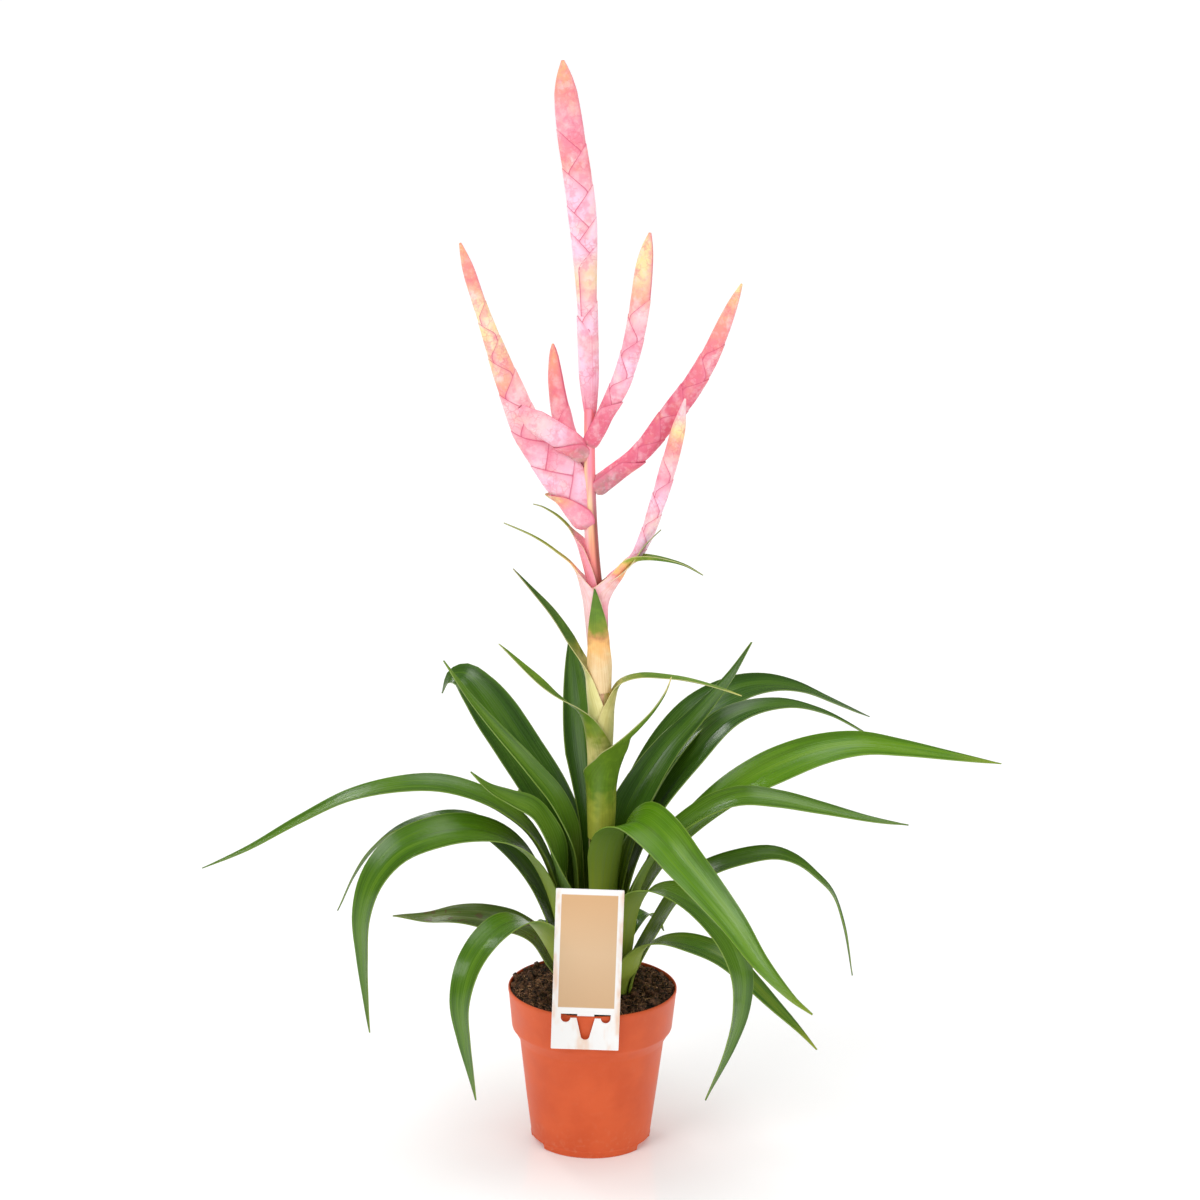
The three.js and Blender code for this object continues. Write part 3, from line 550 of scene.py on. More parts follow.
def finish_piece(obj, slot, material, *nodes):
    """Paints a piece, lets it ride on the part and hides the solids it stands for."""
    slots = obj.data.materials
    for place, coat in enumerate(material if isinstance(material, list) else [material]):
        if place < len(slots):
            slots[place] = coat
        else:
            slots.append(coat)
    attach(obj, "root")
    if nodes:
        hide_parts(*nodes)
    return obj


finish_piece(pot, "pot_plastic", pot_coat, "pot")

# %% [markdown]
# ## The peat
#
# The pot is filled to just under its rim with dark peat. A disc is extruded into a plug, its top
# is inset in many narrow rings, and the points of the top are then lifted by noise: broad swells,
# the size of a finger tip, with clumps and pits on them. It dips round the crown, where the
# leaves come out. Loose crumbs and fibres lie on it. One of each is modelled and copied.

# %% Peat
SOIL_TOP = 113.3
SOIL_BUMP = 1.1
SOIL_RADIUS = 58.1
SOIL_FOOT = 96
CROWN_FOOT = 104
HOLE_RADIUS = 29.2
SOIL_SIDES = 168
SOIL_RINGS = 46
SOIL_MIDDLE = 16
NUDGE = 0.35
NUDGE_SEED = 7
DIP_DEPTH = 5
DIP_INNER = 17
CRUMB_COUNT = 1100
CRUMB_SEED = 11
FIBRE_COUNT = 420
FIBRE_SEED = 29
FIBRE_REACH = 56.5


def soil_swell(x, y):
    """The same gentle bumps as the solid has."""
    coarse = math.sin(x * 0.29 + 1.3) * math.cos(y * 0.33 - 0.4)
    fine = math.sin(x * 0.71 - y * 0.52) * 0.5 + math.cos(x * 0.47 + y * 0.83) * 0.5
    return SOIL_TOP + SOIL_BUMP * (0.55 * coarse + 0.45 * fine)


def soil_height(x, y):
    clumps = noise.fractal(Vector((x, y, 0)) * 0.13, 0.7, 2.1, 5) * 2.1
    pits = noise.fractal(Vector((x, y, 7)) * 0.45, 0.8, 2.0, 4) * 1.4
    out = math.hypot(x, y)
    dip = DIP_DEPTH * (1 - smooth(out, DIP_INNER, HOLE_RADIUS + 1))
    at_wall = smooth(out, SOIL_RADIUS - 0.5, SOIL_RADIUS - 4)
    return min(soil_swell(x, y) + (clumps + pits) * mix(0.3, 1, at_wall) - dip, POT_HEIGHT - 0.1)


# With a fixed seed, the noise gives the same peat each run.
noise.seed_set(NUDGE_SEED)
peat = turned("peat_surface", [(SOIL_RADIUS - 2.2, SOIL_FOOT), (SOIL_RADIUS, SOIL_TOP)], SOIL_SIDES)
bpy.ops.object.mode_set(mode="EDIT")
bpy.ops.mesh.select_all(action="DESELECT")
bpy.ops.object.mode_set(mode="OBJECT")
for face in peat.data.polygons:
    face.select = face.normal.z > 0.9
bpy.ops.object.mode_set(mode="EDIT")
for k in range(SOIL_RINGS):
    bpy.ops.mesh.inset(
        thickness=(SOIL_RADIUS - SOIL_MIDDLE) / SOIL_RINGS * MM, use_even_offset=False)
bpy.ops.object.mode_set(mode="OBJECT")
for point in peat.data.vertices:
    x, y, z = point.co / MM
    if z > SOIL_FOOT + 1:
        nudge = noise.noise_vector(Vector((x, y, 3)) * 0.8) * NUDGE
        inside = smooth(math.hypot(x, y), SOIL_RADIUS - 0.2, SOIL_RADIUS - 3)
        point.co.x += nudge.x * inside * MM
        point.co.y += nudge.y * inside * MM
        point.co.z = soil_height(x, y) * MM
shade(peat, 60)
print("peat faces:", len(peat.data.polygons))


def joined(name, parts):
    bpy.ops.object.select_all(action="DESELECT")
    for part in parts:
        part.select_set(True)
    bpy.context.view_layer.objects.active = parts[0]
    bpy.ops.object.join()
    return added(name)


def laid_copies(template, name, count, place_one):
    """Copies a template, each copy with its own mesh placed by place_one, and joins them."""
    copies = []
    for k in range(count):
        copy = template.copy()
        copy.data = template.data.copy()
        bpy.context.collection.objects.link(copy)
        place_one(copy, k)
        copies.append(copy)
    bpy.data.objects.remove(template)
    return joined(name, copies)


def open_soil(chance, inner=30.5, outer=56.0):
    """A place on the peat, outside the crown and inside the rim."""
    angle = chance.uniform(0, 2 * math.pi)
    out = math.sqrt(chance.uniform(inner * inner, outer * outer))
    return out * math.cos(angle), out * math.sin(angle)


crumb_chance = random.Random(CRUMB_SEED)


def place_crumb(obj, k):
    x, y = open_soil(crumb_chance)
    size = crumb_chance.uniform(0.5, 1.8) if k % 6 else crumb_chance.uniform(2.0, 3.8)
    stretch = Vector([crumb_chance.uniform(0.6, 1.3) * size for _ in range(3)])
    axle = Vector((crumb_chance.random(), crumb_chance.random(), 1))
    turn = Quaternion(axle, crumb_chance.uniform(0, 6))
    base = Vector((x, y, min(soil_height(x, y) + 0.35 * size, POT_HEIGHT - 0.2)))
    for point in obj.data.vertices:
        grown = Vector([a * b for a, b in zip(point.co, stretch)])
        grown.rotate(turn)
        point.co = (base + grown) * MM


bpy.ops.mesh.primitive_ico_sphere_add(subdivisions=1, radius=1, location=(0, 0, 0))
crumb = added("crumb")
edit_all()
bpy.ops.transform.vertex_random(offset=0.3, seed=3)
bpy.ops.object.mode_set(mode="OBJECT")
crumbs = laid_copies(crumb, "peat_crumbs", CRUMB_COUNT, place_crumb)
print("crumb faces:", len(crumbs.data.polygons))

fibre_chance = random.Random(FIBRE_SEED)
STRAWS = [(36, -22), (37.5, -25), (34, -28)]


def place_fibre(obj, k):
    """Bends a straight rod into a curl that lies on the peat. The first few are thicker straws."""
    x, y = STRAWS[k] if k < len(STRAWS) else open_soil(fibre_chance)
    length = fibre_chance.uniform(5, 13) if k % 12 else fibre_chance.uniform(13, 20)
    thick = fibre_chance.uniform(0.2, 0.4)
    heading = fibre_chance.uniform(0, 2 * math.pi)
    curl = fibre_chance.uniform(-1.6, 1.6)
    lift = fibre_chance.uniform(0.2, 1.6)
    if k < len(STRAWS):
        length, thick, heading, curl, lift = 15 - 2 * k, 0.45, 4.9 + 0.25 * k, 0.4, 1.6
    for point in obj.data.vertices:
        along = point.co.z
        angle = heading + curl * along
        px = x + length * along * math.cos(angle) - point.co.x * thick * math.sin(angle)
        py = y + length * along * math.sin(angle) + point.co.x * thick * math.cos(angle)
        reach = min(1, FIBRE_REACH / math.hypot(px, py))
        px, py = px * reach, py * reach
        arch = lift * (1 - 4 * along * along) + 0.25
        pz = min(soil_height(px, py) + arch + point.co.y * thick, POT_HEIGHT + 0.4)
        point.co = Vector((px, py, pz)) * MM


bpy.ops.mesh.primitive_cylinder_add(vertices=5, radius=1, depth=1, location=(0, 0, 0))
fibre = added("fibre")
edit_all()
for height in (-0.33, -0.17, 0, 0.17, 0.33):
    bpy.ops.mesh.bisect(plane_co=(0, 0, height), plane_no=(0, 0, 1))
    bpy.ops.mesh.select_all(action="SELECT")
bpy.ops.object.mode_set(mode="OBJECT")
fibres = laid_copies(fibre, "peat_fibres", FIBRE_COUNT, place_fibre)
shade(fibres, 60)
print("fibre faces:", len(fibres.data.polygons))

# %% [markdown]
# Damp peat is nearly black in its pits and brown on its crumbs, with a reddish cast. Noise at
# two sizes mixes the browns, and a finer one roughens them. The fibres are dry and paler, from
# tan to straw.

# %% Peat finish
def peat_finish(name, dark, brown, pale, amount):
    coat = Finish(name, Roughness=0.95)
    coat.colour = coat.tint(mottled(coat, 0.004), dark, brown)
    coat.over(coat.times(mottled(coat, 0.0011, 0.5, 0.7), amount), pale)
    return coat.finished(coat.grain(coat.place, 1500.0, 4.0), 0.6, 0.0006)


damp_peat = peat_finish("damp_peat", (0.006, 0.0035, 0.002), (0.07, 0.029, 0.014), (0.24, 0.1, 0.045), 0.45)
peat_crumb = peat_finish("peat_crumb", (0.01, 0.005, 0.003), (0.13, 0.055, 0.026), (0.4, 0.2, 0.1), 0.5)
dry_fibre = peat_finish("dry_fibre", (0.1, 0.04, 0.018), (0.36, 0.17, 0.08), (0.78, 0.5, 0.29), 0.75)
finish_piece(peat, "peat", damp_peat, "soil")
finish_piece(crumbs, "peat", peat_crumb)
finish_piece(fibres, "peat", dry_fibre)

# %% [markdown]
# ## The lines that leaves and bracts follow
#
# Each leaf starts in a sheath that clasps the stem, rises, and arches over under its own weight.
# Its midrib is given as points in one upright plane, out from the stem and up. A smooth line goes
# through them, and is walked by its own length, so that the blade's cross lines stay evenly
# spaced. This is the same kind of line as the solids use, so each blade lies where they lie.

# %% A smooth line and the strap form
LINE_STEPS = 200
KEEL_WIDTH = 0.16
SMOOTHED_BELOW = 42


class Line:
    """A smooth line through [out, up] points, walked by its length from 0 to 1."""

    def __init__(self, points):
        self.points = [Vector(point) for point in points]
        marks = [self.between(i / LINE_STEPS) for i in range(LINE_STEPS + 1)]
        self.lengths = [0.0]
        for before, after in zip(marks, marks[1:]):
            self.lengths.append(self.lengths[-1] + (after - before).length)

    def between(self, share):
        """The point at a share of the way, counted in given points."""
        points, last = self.points, len(self.points) - 1
        i = min(int(share * last), last - 1)
        s = share * last - i
        p1, p2 = points[i], points[i + 1]
        p0 = points[i - 1] if i > 0 else p1 * 2 - p2
        p3 = points[i + 2] if i + 2 <= last else p2 * 2 - p1
        d0, d1, d2 = [math.sqrt((b - a).length) for a, b in ((p0, p1), (p1, p2), (p2, p3))]
        t1 = ((p1 - p0) / d0 - (p2 - p0) / (d0 + d1) + (p2 - p1) / d1) * d1
        t2 = ((p2 - p1) / d1 - (p3 - p1) / (d1 + d2) + (p3 - p2) / d2) * d1
        square = (p2 - p1) * 3 - t1 * 2 - t2
        cube = (p1 - p2) * 2 + t1 + t2
        return p1 + t1 * s + square * s * s + cube * s * s * s

    def at(self, walked):
        """The point and the direction after a share of the length."""
        target = min(max(walked, 0), 1) * self.lengths[-1]
        k = max(i for i in range(LINE_STEPS) if self.lengths[i] <= target)
        inside = (target - self.lengths[k]) / (self.lengths[k + 1] - self.lengths[k])
        share = (k + inside) / LINE_STEPS
        ahead = self.between(min(share + 1e-4, 1)) - self.between(max(share - 1e-4, 0))
        return self.between(share), ahead.normalized()


STEM_TOP = 532
STEM_LINE = Line([(0, CROWN_FOOT), (3, 180), (4.5, 232), (2.5, 330), (0.2, 390), (-4.2, 435),
                  (-6.3, 470), (-7.5, STEM_TOP)])
stem_marks = [STEM_LINE.between(i / 400) for i in range(401)]


def stem_offset(height):
    """How far the stem stands to the side of the pot's axis at a height."""
    height = min(max(height, CROWN_FOOT), STEM_TOP)
    for low, high in zip(stem_marks, stem_marks[1:]):
        if high.y >= height:
            return mix(low.x, high.x, (height - low.y) / (high.y - low.y))
    return stem_marks[-1].x


def strap_row(strap, u, columns):
    """The points across a strap at u of its length, in millimetres."""
    line, clasp = strap["line"], math.radians(strap["clasp"])
    sheath, belly = strap["sheath"], strap["belly"]
    middle, along = line.at(u)
    out = middle.x
    middle, along = Vector((middle.x, 0, middle.y)), Vector((along.x, 0, along.y))
    upper = Vector((-along.z, 0, along.x))
    narrowing = 1 if u < belly else 1 - ((u - belly) / (1 - belly)) ** strap["taper"]
    blade = mix(strap["tip"], strap["half_width"], narrowing)
    half = mix(clasp * line.points[0].x, blade, smooth(u, strap["hold"], sheath))
    lift = strap["channel"] * half * smooth(u, sheath * strap["cup_from"], sheath * 1.6)
    heading = Quaternion(UP, math.radians(strap["turn"] + strap["swing"] * smooth(u, sheath * 0.5, 1)))
    rolled = smooth(u, strap.get("roll_from", sheath), strap["roll_to"])
    twist = Quaternion(along, math.radians(strap["roll"] * rolled))
    open_angle = half / math.radians(strap["clasp"] + 1)
    row = []
    for column in range(columns + 1):
        across = 1 - 2 * column / columns
        angle = across * half / max(out, open_angle)
        point = Vector((out * (math.cos(angle) - 1), out * math.sin(angle), 0))
        keel = strap["keel"] * half * math.exp(-((across / KEEL_WIDTH) ** 2))
        keel *= smooth(u, sheath, sheath * 2)
        wave = strap["wave"] * across * abs(across) * math.sin(strap["waves"] * u + 2 * across)
        point += upper * (lift * across * across - keel + wave * smooth(u, sheath, sheath + 0.3))
        point.rotate(twist)
        point += middle
        point.rotate(heading)
        if strap["on_stem"]:
            point.x += stem_offset(point.z)
        row.append(point)
    return row


def walled(obj, thickness, lower_slot=0):
    """Gives a thin sheet its thickness. The lower face may take a coat of its own."""
    wall = obj.modifiers.new("wall", "SOLIDIFY")
    wall.thickness = thickness * MM
    wall.offset = 0
    wall.material_offset = lower_slot
    return apply_all(obj)


def strap_piece(name, strap, rows, columns, thickness):
    """A flat grid, laid on the strap's form and given its thickness."""
    bpy.ops.object.select_all(action="DESELECT")
    bpy.ops.mesh.primitive_grid_add(x_subdivisions=columns, y_subdivisions=rows, size=1)
    obj = added(name)
    points = [p for i in range(rows + 1) for p in strap_row(strap, i / rows, columns)]
    for vertex, point in zip(obj.data.vertices, points):
        vertex.co = point * MM
    obj.data.update()
    for side in ("upper", "lower"):
        obj.data.materials.append(None)
    return shade(walled(obj, thickness, 1), SMOOTHED_BELOW)


STRAP = {
    "swing": 0, "roll": 0, "roll_to": 0.6, "hold": 0, "cup_from": 0.7, "channel": 0.22, "on_stem": False,
    "belly": 0.45, "taper": 1.25, "tip": 0.3, "keel": 0.025, "wave": 0.5, "waves": 19,
}
print("stem offset at the top in mm:", round(stem_offset(STEM_TOP), 2))

# %% [markdown]
# ## The leaves
#
# Two dozen leaves stand on rings round the stem, the oldest lowest and outermost. Each row of the
# table is one leaf: where it turns to, its ring, its width, how it rolls toward the light, and the
# points of its midrib. The look names its green: the erect inner leaves are deep green, the ones
# that arch into the light are brighter, and old ones turn yellow at the tip.

# %% The table of leaves
LEAVES = [
    dict(name="back_erect", turn=93, ring=0, clasp=27, swing=12, half_width=17, belly=0.7, taper=1.6,
         look="deep", midrib=[(13.5, 190), (18, 226), (28, 260), (43, 299), (60, 332), (75, 356)]),
    dict(name="left_slender", turn=178, ring=0, clasp=30, half_width=10.5, roll=-34, look="fresh",
         midrib=[(13, 180), (17, 222), (28, 254), (46, 277), (67, 301), (88, 327), (107, 354)]),
    dict(name="right_erect", turn=27, ring=0, clasp=27, roll=42, half_width=16, belly=0.45, taper=0.95,
         look="deep", midrib=[(14, 190), (21, 226), (37, 259), (57, 285), (81, 307), (106, 332),
                              (123, 355)]),
    dict(name="front_large", turn=306, ring=1, half_width=17, roll=42, swing=4, look="bright",
         midrib=[(15, 165), (19, 212), (29, 240), (51, 254), (76, 249), (101, 236), (123, 224),
                 (151, 207), (178, 186), (210, 170), (229, 165)]),
    dict(name="left_short", turn=211, ring=3, clasp=30, half_width=16, roll=-50, look="fresh",
         midrib=[(22, 165), (30, 204), (38, 234), (50, 255), (68, 266), (84, 276), (100, 291)]),
    dict(name="left_hooked", turn=147, ring=2, clasp=33, half_width=16.5, roll=-42, belly=0.75, taper=1.8,
         look="deep", midrib=[(17.5, 170), (23.5, 210), (42, 251), (65, 279), (84, 300), (100, 316),
                              (113, 325), (125, 322), (132, 309)]),
    dict(name="right_rear", turn=44, ring=2, half_width=15, roll=26, taper=1.5, look="deep",
         midrib=[(18, 170), (26, 210), (55, 260), (97, 296), (139, 306), (172, 304), (206, 294),
                 (240, 278), (283.8, 256)]),
    dict(name="right_arched", turn=29, ring=3, half_width=16.5, roll=8, taper=1.4, look="deep",
         midrib=[(21, 170), (31, 208), (50, 242), (77, 272), (110, 298), (152, 303), (186, 293),
                 (229, 268)]),
    dict(name="back_left", turn=122, ring=3, half_width=15, look="middle",
         midrib=[(22, 170), (31, 208), (48, 232), (70, 244), (92, 240), (108, 226)]),
    dict(name="right_low_arch", turn=348, ring=4, half_width=15, roll=20, look="middle",
         midrib=[(25, 162), (38, 203), (52, 228), (70, 245), (87, 257), (107, 265), (132, 265),
                 (160, 261), (192, 257), (222, 255)]),
    dict(name="left_long", turn=182, ring=4, half_width=15, roll=-9, look="middle",
         midrib=[(24, 165), (34, 206), (48, 231), (64, 245), (81, 255), (109, 264), (137, 264),
                 (172, 256), (207, 238), (242, 218), (276, 203)]),
    dict(name="right_long", turn=12, ring=5, half_width=17, roll=27, belly=0.55, look="bright",
         midrib=[(26, 160), (42, 196), (62, 221), (84, 241), (107, 258), (135, 272), (163, 281),
                 (192, 284), (221, 280), (258, 273), (297, 265)]),
    dict(name="left_drooping", turn=197, ring=5, half_width=17, roll=-28, look="middle",
         midrib=[(26, 160), (37, 196), (51, 219), (68, 232), (91, 239), (113, 239), (141, 230),
                 (159, 211), (168, 184), (168, 151), (165, 117), (163, 96)]),
    dict(name="right_hooked", turn=9, ring=9, half_width=14.5, roll=12, belly=0.4, taper=0.8, look="middle",
         midrib=[(34, 134), (46, 158), (61, 181), (84, 198), (107, 206), (129, 208), (146, 202),
                 (160, 191), (172, 178), (181, 153), (189, 114)]),
    dict(name="left_rear", turn=166, ring=6, half_width=15, look="deep",
         midrib=[(28, 150), (45, 188), (69, 214), (91, 227), (113, 229), (143, 219), (162, 202),
                 (177, 180), (190, 152)]),
    dict(name="front_right", turn=314, ring=7, half_width=15, look="middle",
         midrib=[(29, 148), (34, 177), (46, 196), (65, 205), (86, 206), (110, 200), (135, 184),
                 (146, 165), (146, 140), (137, 111), (115, 63)]),
    dict(name="front_left", turn=234, ring=7, half_width=14, look="middle",
         midrib=[(31, 138), (56, 172), (84, 188), (107, 190), (128, 184), (144, 171), (152, 149),
                 (148, 121), (142, 97), (135, 72)]),
    dict(name="left_spotted", turn=163, ring=8, half_width=14, roll=-25, look="spotted",
         midrib=[(33, 132), (44, 146), (62, 153), (85, 156), (104, 155), (126, 151), (151, 149)]),
    dict(name="right_low", turn=323, ring=8, clasp=31, half_width=13, roll=10, swing=3, look="yellowing",
         midrib=[(32, 130), (38, 147), (50, 158), (67, 164), (90, 165), (111, 161), (136, 147),
                 (157, 132), (173, 121), (187, 111)]),
    dict(name="back_long", turn=85, ring=4, half_width=15, look="middle",
         midrib=[(24, 165), (35, 190), (60, 206), (92, 210), (130, 198), (165, 172), (189, 138)]),
    dict(name="back_drooping", turn=100, ring=5, clasp=40, half_width=15, look="middle",
         midrib=[(27, 152), (42, 174), (66, 186), (96, 185), (128, 168), (152, 138), (164, 100)]),
    dict(name="back_short_left", turn=124, ring=7, half_width=12, look="middle",
         midrib=[(31, 134), (42, 144), (54, 147), (66, 141), (76, 128)]),
    dict(name="back_short_right", turn=48, ring=6, clasp=38, half_width=12, look="middle",
         midrib=[(29, 140), (40, 151), (54, 155), (66, 149), (76, 136)]),
    dict(name="back_low", turn=78, ring=8, half_width=14, look="yellowing",
         midrib=[(33, 124), (46, 132), (68, 136), (94, 130), (118, 112), (132, 88)]),
]

# %% [markdown]
# A leaf is a thick, glossy strap. Fine ribs, some of them paler, run its whole length. Under them
# lie wider lengthwise bands of painted highlight, in the same pale green, and of painted shade, in
# a darker copy of the blade's green. The margins are a thin paler line, and the foot is
# yellow-green. The gloss is broken by the ribs, so highlights are soft and drawn out. The lower
# face has a dull grey bloom. The strap's own UV map carries all of it, so that the ribs follow each
# bend of the leaf.

# %% Leaf finishes
# Each look has the colours of its blade, its pale ribs and painted highlight bands, its foot and its tip.
GREENS = {
    "deep": [(0.034, 0.098, 0.006), (0.066, 0.155, 0.009), (0.19, 0.29, 0.012), (0.05, 0.11, 0.012)],
    "middle": [(0.056, 0.145, 0.006), (0.1, 0.21, 0.009), (0.24, 0.33, 0.014), (0.09, 0.16, 0.014)],
    "bright": [(0.078, 0.2, 0.005), (0.135, 0.275, 0.008), (0.24, 0.34, 0.014), (0.24, 0.27, 0.02)],
    "fresh": [(0.075, 0.175, 0.012), (0.125, 0.235, 0.02), (0.26, 0.34, 0.03), (0.11, 0.2, 0.02)],
    "spotted": [(0.075, 0.125, 0.016), (0.15, 0.19, 0.05), (0.2, 0.25, 0.03), (0.16, 0.19, 0.05)],
    "yellowing": [(0.055, 0.14, 0.01), (0.13, 0.21, 0.014), (0.22, 0.29, 0.02), (0.42, 0.4, 0.04)],
}


def leaf_finish(look):
    blade, pale, foot, tip = GREENS[look]
    coat = Finish("leaf_" + look, Roughness=0.3, Specular_IOR_Level=0.4)
    marks = ribbed(coat, 46.0)
    sheen_and_shade_bands = ribbed(coat, 6.0)["Rib"]
    tints = {"Along": marks["Along"], "Foot": foot, "Blade": blade, "Tip": tip,
             "Foot from": 0.14, "Foot to": 0.48, "Tip from": 0.88, "Tip to": 1.0}
    coat.colour = coat.placed(strap_tints, tints).outputs["Color"]
    # Pale ribs, and broad bands of painted highlight: both take the pale green.
    light = coat.times(mottled(coat, 0.04), coat.between(marks["Rib"], 0.3, 0.75, 0.35, 0.95))
    light = coat.maths("MAXIMUM", light, coat.between(sheen_and_shade_bands, 0.52, 0.72))
    coat.over(coat.times(light, 0.8), pale)
    # Painted shade: where the bands are low, a darker copy of the blade's green.
    coat.over(coat.between(sheen_and_shade_bands, 0.46, 0.3, 0.0, 0.45), tuple(tone * 0.5 for tone in blade))
    if look == "spotted":
        coat.over(coat.times(mottled(coat, 0.006, 0.58, 0.66), 0.65), (0.11, 0.055, 0.025))
    coat.over(coat.times(marks["Margin"], 0.45), (0.3, 0.4, 0.08))
    coat.drive("Roughness", coat.between(marks["Rib"], 0.25, 0.8, 0.18, 0.32))
    return coat.finished(marks["Rib"], 0.22, 0.0006)


def underside_finish():
    coat = Finish("leaf_underside", Roughness=0.5, Specular_IOR_Level=0.3)
    marks = ribbed(coat, 60.0, 0.018)
    tints = {"Along": marks["Along"], "Foot": (0.33, 0.42, 0.03), "Blade": (0.085, 0.18, 0.014),
             "Tip": (0.11, 0.19, 0.03), "Foot from": 0.12, "Foot to": 0.46}
    coat.colour = coat.placed(strap_tints, tints).outputs["Color"]
    coat.over(coat.between(marks["Rib"], 0.35, 0.8, 0.05, 0.4), (0.16, 0.24, 0.09))
    return coat.finished(marks["Rib"], 0.3, 0.0006)


leaf_underside = underside_finish()
leaf_coats = {look: leaf_finish(look) for look in GREENS}
print("leaf finishes:", sorted(leaf_coats))

# %% Leaves
SHEATH_INNER_RADIUS = 9.2
SHEATH_STEP = 1.9
SHEATH_WIDEST_CLASP = 46
SHEATH_HALF_WIDTH = 15.2
SHEATH_TOP = 124
LEAF_THICKNESS = 0.8
LEAF_ROWS = 64
LEAF_COLUMNS = 16

for number, leaf in enumerate(LEAVES):
    ring = leaf["ring"]
    foot = SHEATH_INNER_RADIUS + SHEATH_STEP * ring
    line = Line([(foot, CROWN_FOOT), (foot + 1.2 + 0.25 * ring, SHEATH_TOP), *leaf["midrib"]])
    widest = min(SHEATH_WIDEST_CLASP, math.degrees(SHEATH_HALF_WIDTH / foot))
    strap = {**STRAP, "clasp": widest, "sheath": 0.28, "waves": 15 + number % 5 * 2, **leaf, "line": line}
    blade = strap_piece("leaf_blade_" + leaf["name"], strap, LEAF_ROWS, LEAF_COLUMNS, LEAF_THICKNESS)
    finish_piece(blade, "leaf", [leaf_coats[leaf["look"]], leaf_underside], "leaf_" + leaf["name"])
print("leaves:", len(LEAVES), "faces of the last:", len(blade.data.polygons))

# %% [markdown]
# ## The flower stem and its bracts
#
# The stem is almost hidden: bracts sheathe it one above the other, each starting inside the one
# below. Low ones are small leaves with a cream sheath, high ones are pink with a thin green tip.
# They are straps too, whose feet wrap right round the stem. The stem itself is a cylinder, cut
# across into many short lengths, and each length is drawn to the stem's thickness and lean. It
# keeps for each point how far it faces right, because the bare stretch is pink on its left,
# cream in its middle and dark maroon on its right: painted shade, where a bract hides it from the
# light.

# %% Tones of the flower
DEEP_GREEN = (0.035, 0.09, 0.01)
GREEN = (0.07, 0.17, 0.014)
FRESH = (0.12, 0.23, 0.014)
OLIVE = (0.23, 0.29, 0.022)
LIME = (0.37, 0.41, 0.05)
STRAW = (0.72, 0.64, 0.24)
IVORY = (0.85, 0.78, 0.33)
CREAM = (0.9, 0.66, 0.37)
AMBER = (0.96, 0.52, 0.18)
RUST = (0.6, 0.28, 0.1)
APRICOT = (0.98, 0.41, 0.22)
GOLD = (0.98, 0.72, 0.34)
ROSE = (0.9, 0.24, 0.27)
PINK = (0.92, 0.33, 0.42)
BLUSH = (0.98, 0.6, 0.62)
LILAC = (0.96, 0.58, 0.72)
SALMON = (0.93, 0.3, 0.25)
DEEP_PINK = (0.78, 0.14, 0.22)
DRY = (0.5, 0.2, 0.22)
# Painted shade on the stem, where the bracts hide it from the light.
PAINTED_SHADE_MAROON = (0.31, 0.09, 0.06)


def note_on_points(obj, label, values):
    """Keeps one number for each point of a mesh, under a name that the finish can read."""
    kept = obj.data.attributes.get(label) or obj.data.attributes.new(label, "FLOAT", "POINT")
    kept.data.foreach_set("value", values)


# %% Flower stem
STEM_FOOT_RADIUS = 7.8
SHEATHED_RADIUS = 6.6
STEM_RADIUS = 4.9
STEM_TOP_RADIUS = 3.7
SHEATHED_AT = 215
BARE_FROM = 375
BARE_AT = 412
SLIM_FROM = 420
STEM_CUTS = 60
STEM_SIDES = 40
STEM_ABOVE = 5
STEM_SLACK = 0.12


def stem_radius(height):
    sheathed = mix(STEM_FOOT_RADIUS, SHEATHED_RADIUS, smooth(height, CROWN_FOOT, SHEATHED_AT))
    bare = mix(sheathed, STEM_RADIUS, smooth(height, BARE_FROM, BARE_AT))
    return mix(bare, STEM_TOP_RADIUS, smooth(height, SLIM_FROM, STEM_TOP))


bpy.ops.object.select_all(action="DESELECT")
bpy.ops.mesh.primitive_cylinder_add(vertices=STEM_SIDES, radius=1, depth=1, location=(0, 0, 0.5))
stem = settle(added("flower_stalk"))
bpy.ops.object.mode_set(mode="EDIT")
for k in range(1, STEM_CUTS):
    bpy.ops.mesh.select_all(action="SELECT")
    bpy.ops.mesh.bisect(plane_co=(0, 0, k / STEM_CUTS), plane_no=(0, 0, 1))
bpy.ops.object.mode_set(mode="OBJECT")
note_on_points(stem, "side", [point.co.x for point in stem.data.vertices])
for point in stem.data.vertices:
    x, y, share = point.co
    height = mix(CROWN_FOOT, STEM_TOP + STEM_ABOVE, share)
    flute = STEM_SLACK * math.sin(9 * math.atan2(y, x)) * smooth(height, BARE_FROM + 5, SLIM_FROM)
    radius = stem_radius(height) - STEM_SLACK + flute
    point.co = Vector((x * radius + stem_offset(height), y * radius, height)) * MM
shade(stem, 40)

stalk = Finish("pink_stalk", Roughness=0.45, Specular_IOR_Level=0.35)
height = stalk.add("SeparateXYZ", {"Vector": stalk.place}).outputs["Z"]
share = stalk.add("MapRange", {"Value": height, "From Min": 0.38, "From Max": 0.53}).outputs["Result"]
side = stalk.add("Attribute", attribute_name="side").outputs["Fac"]
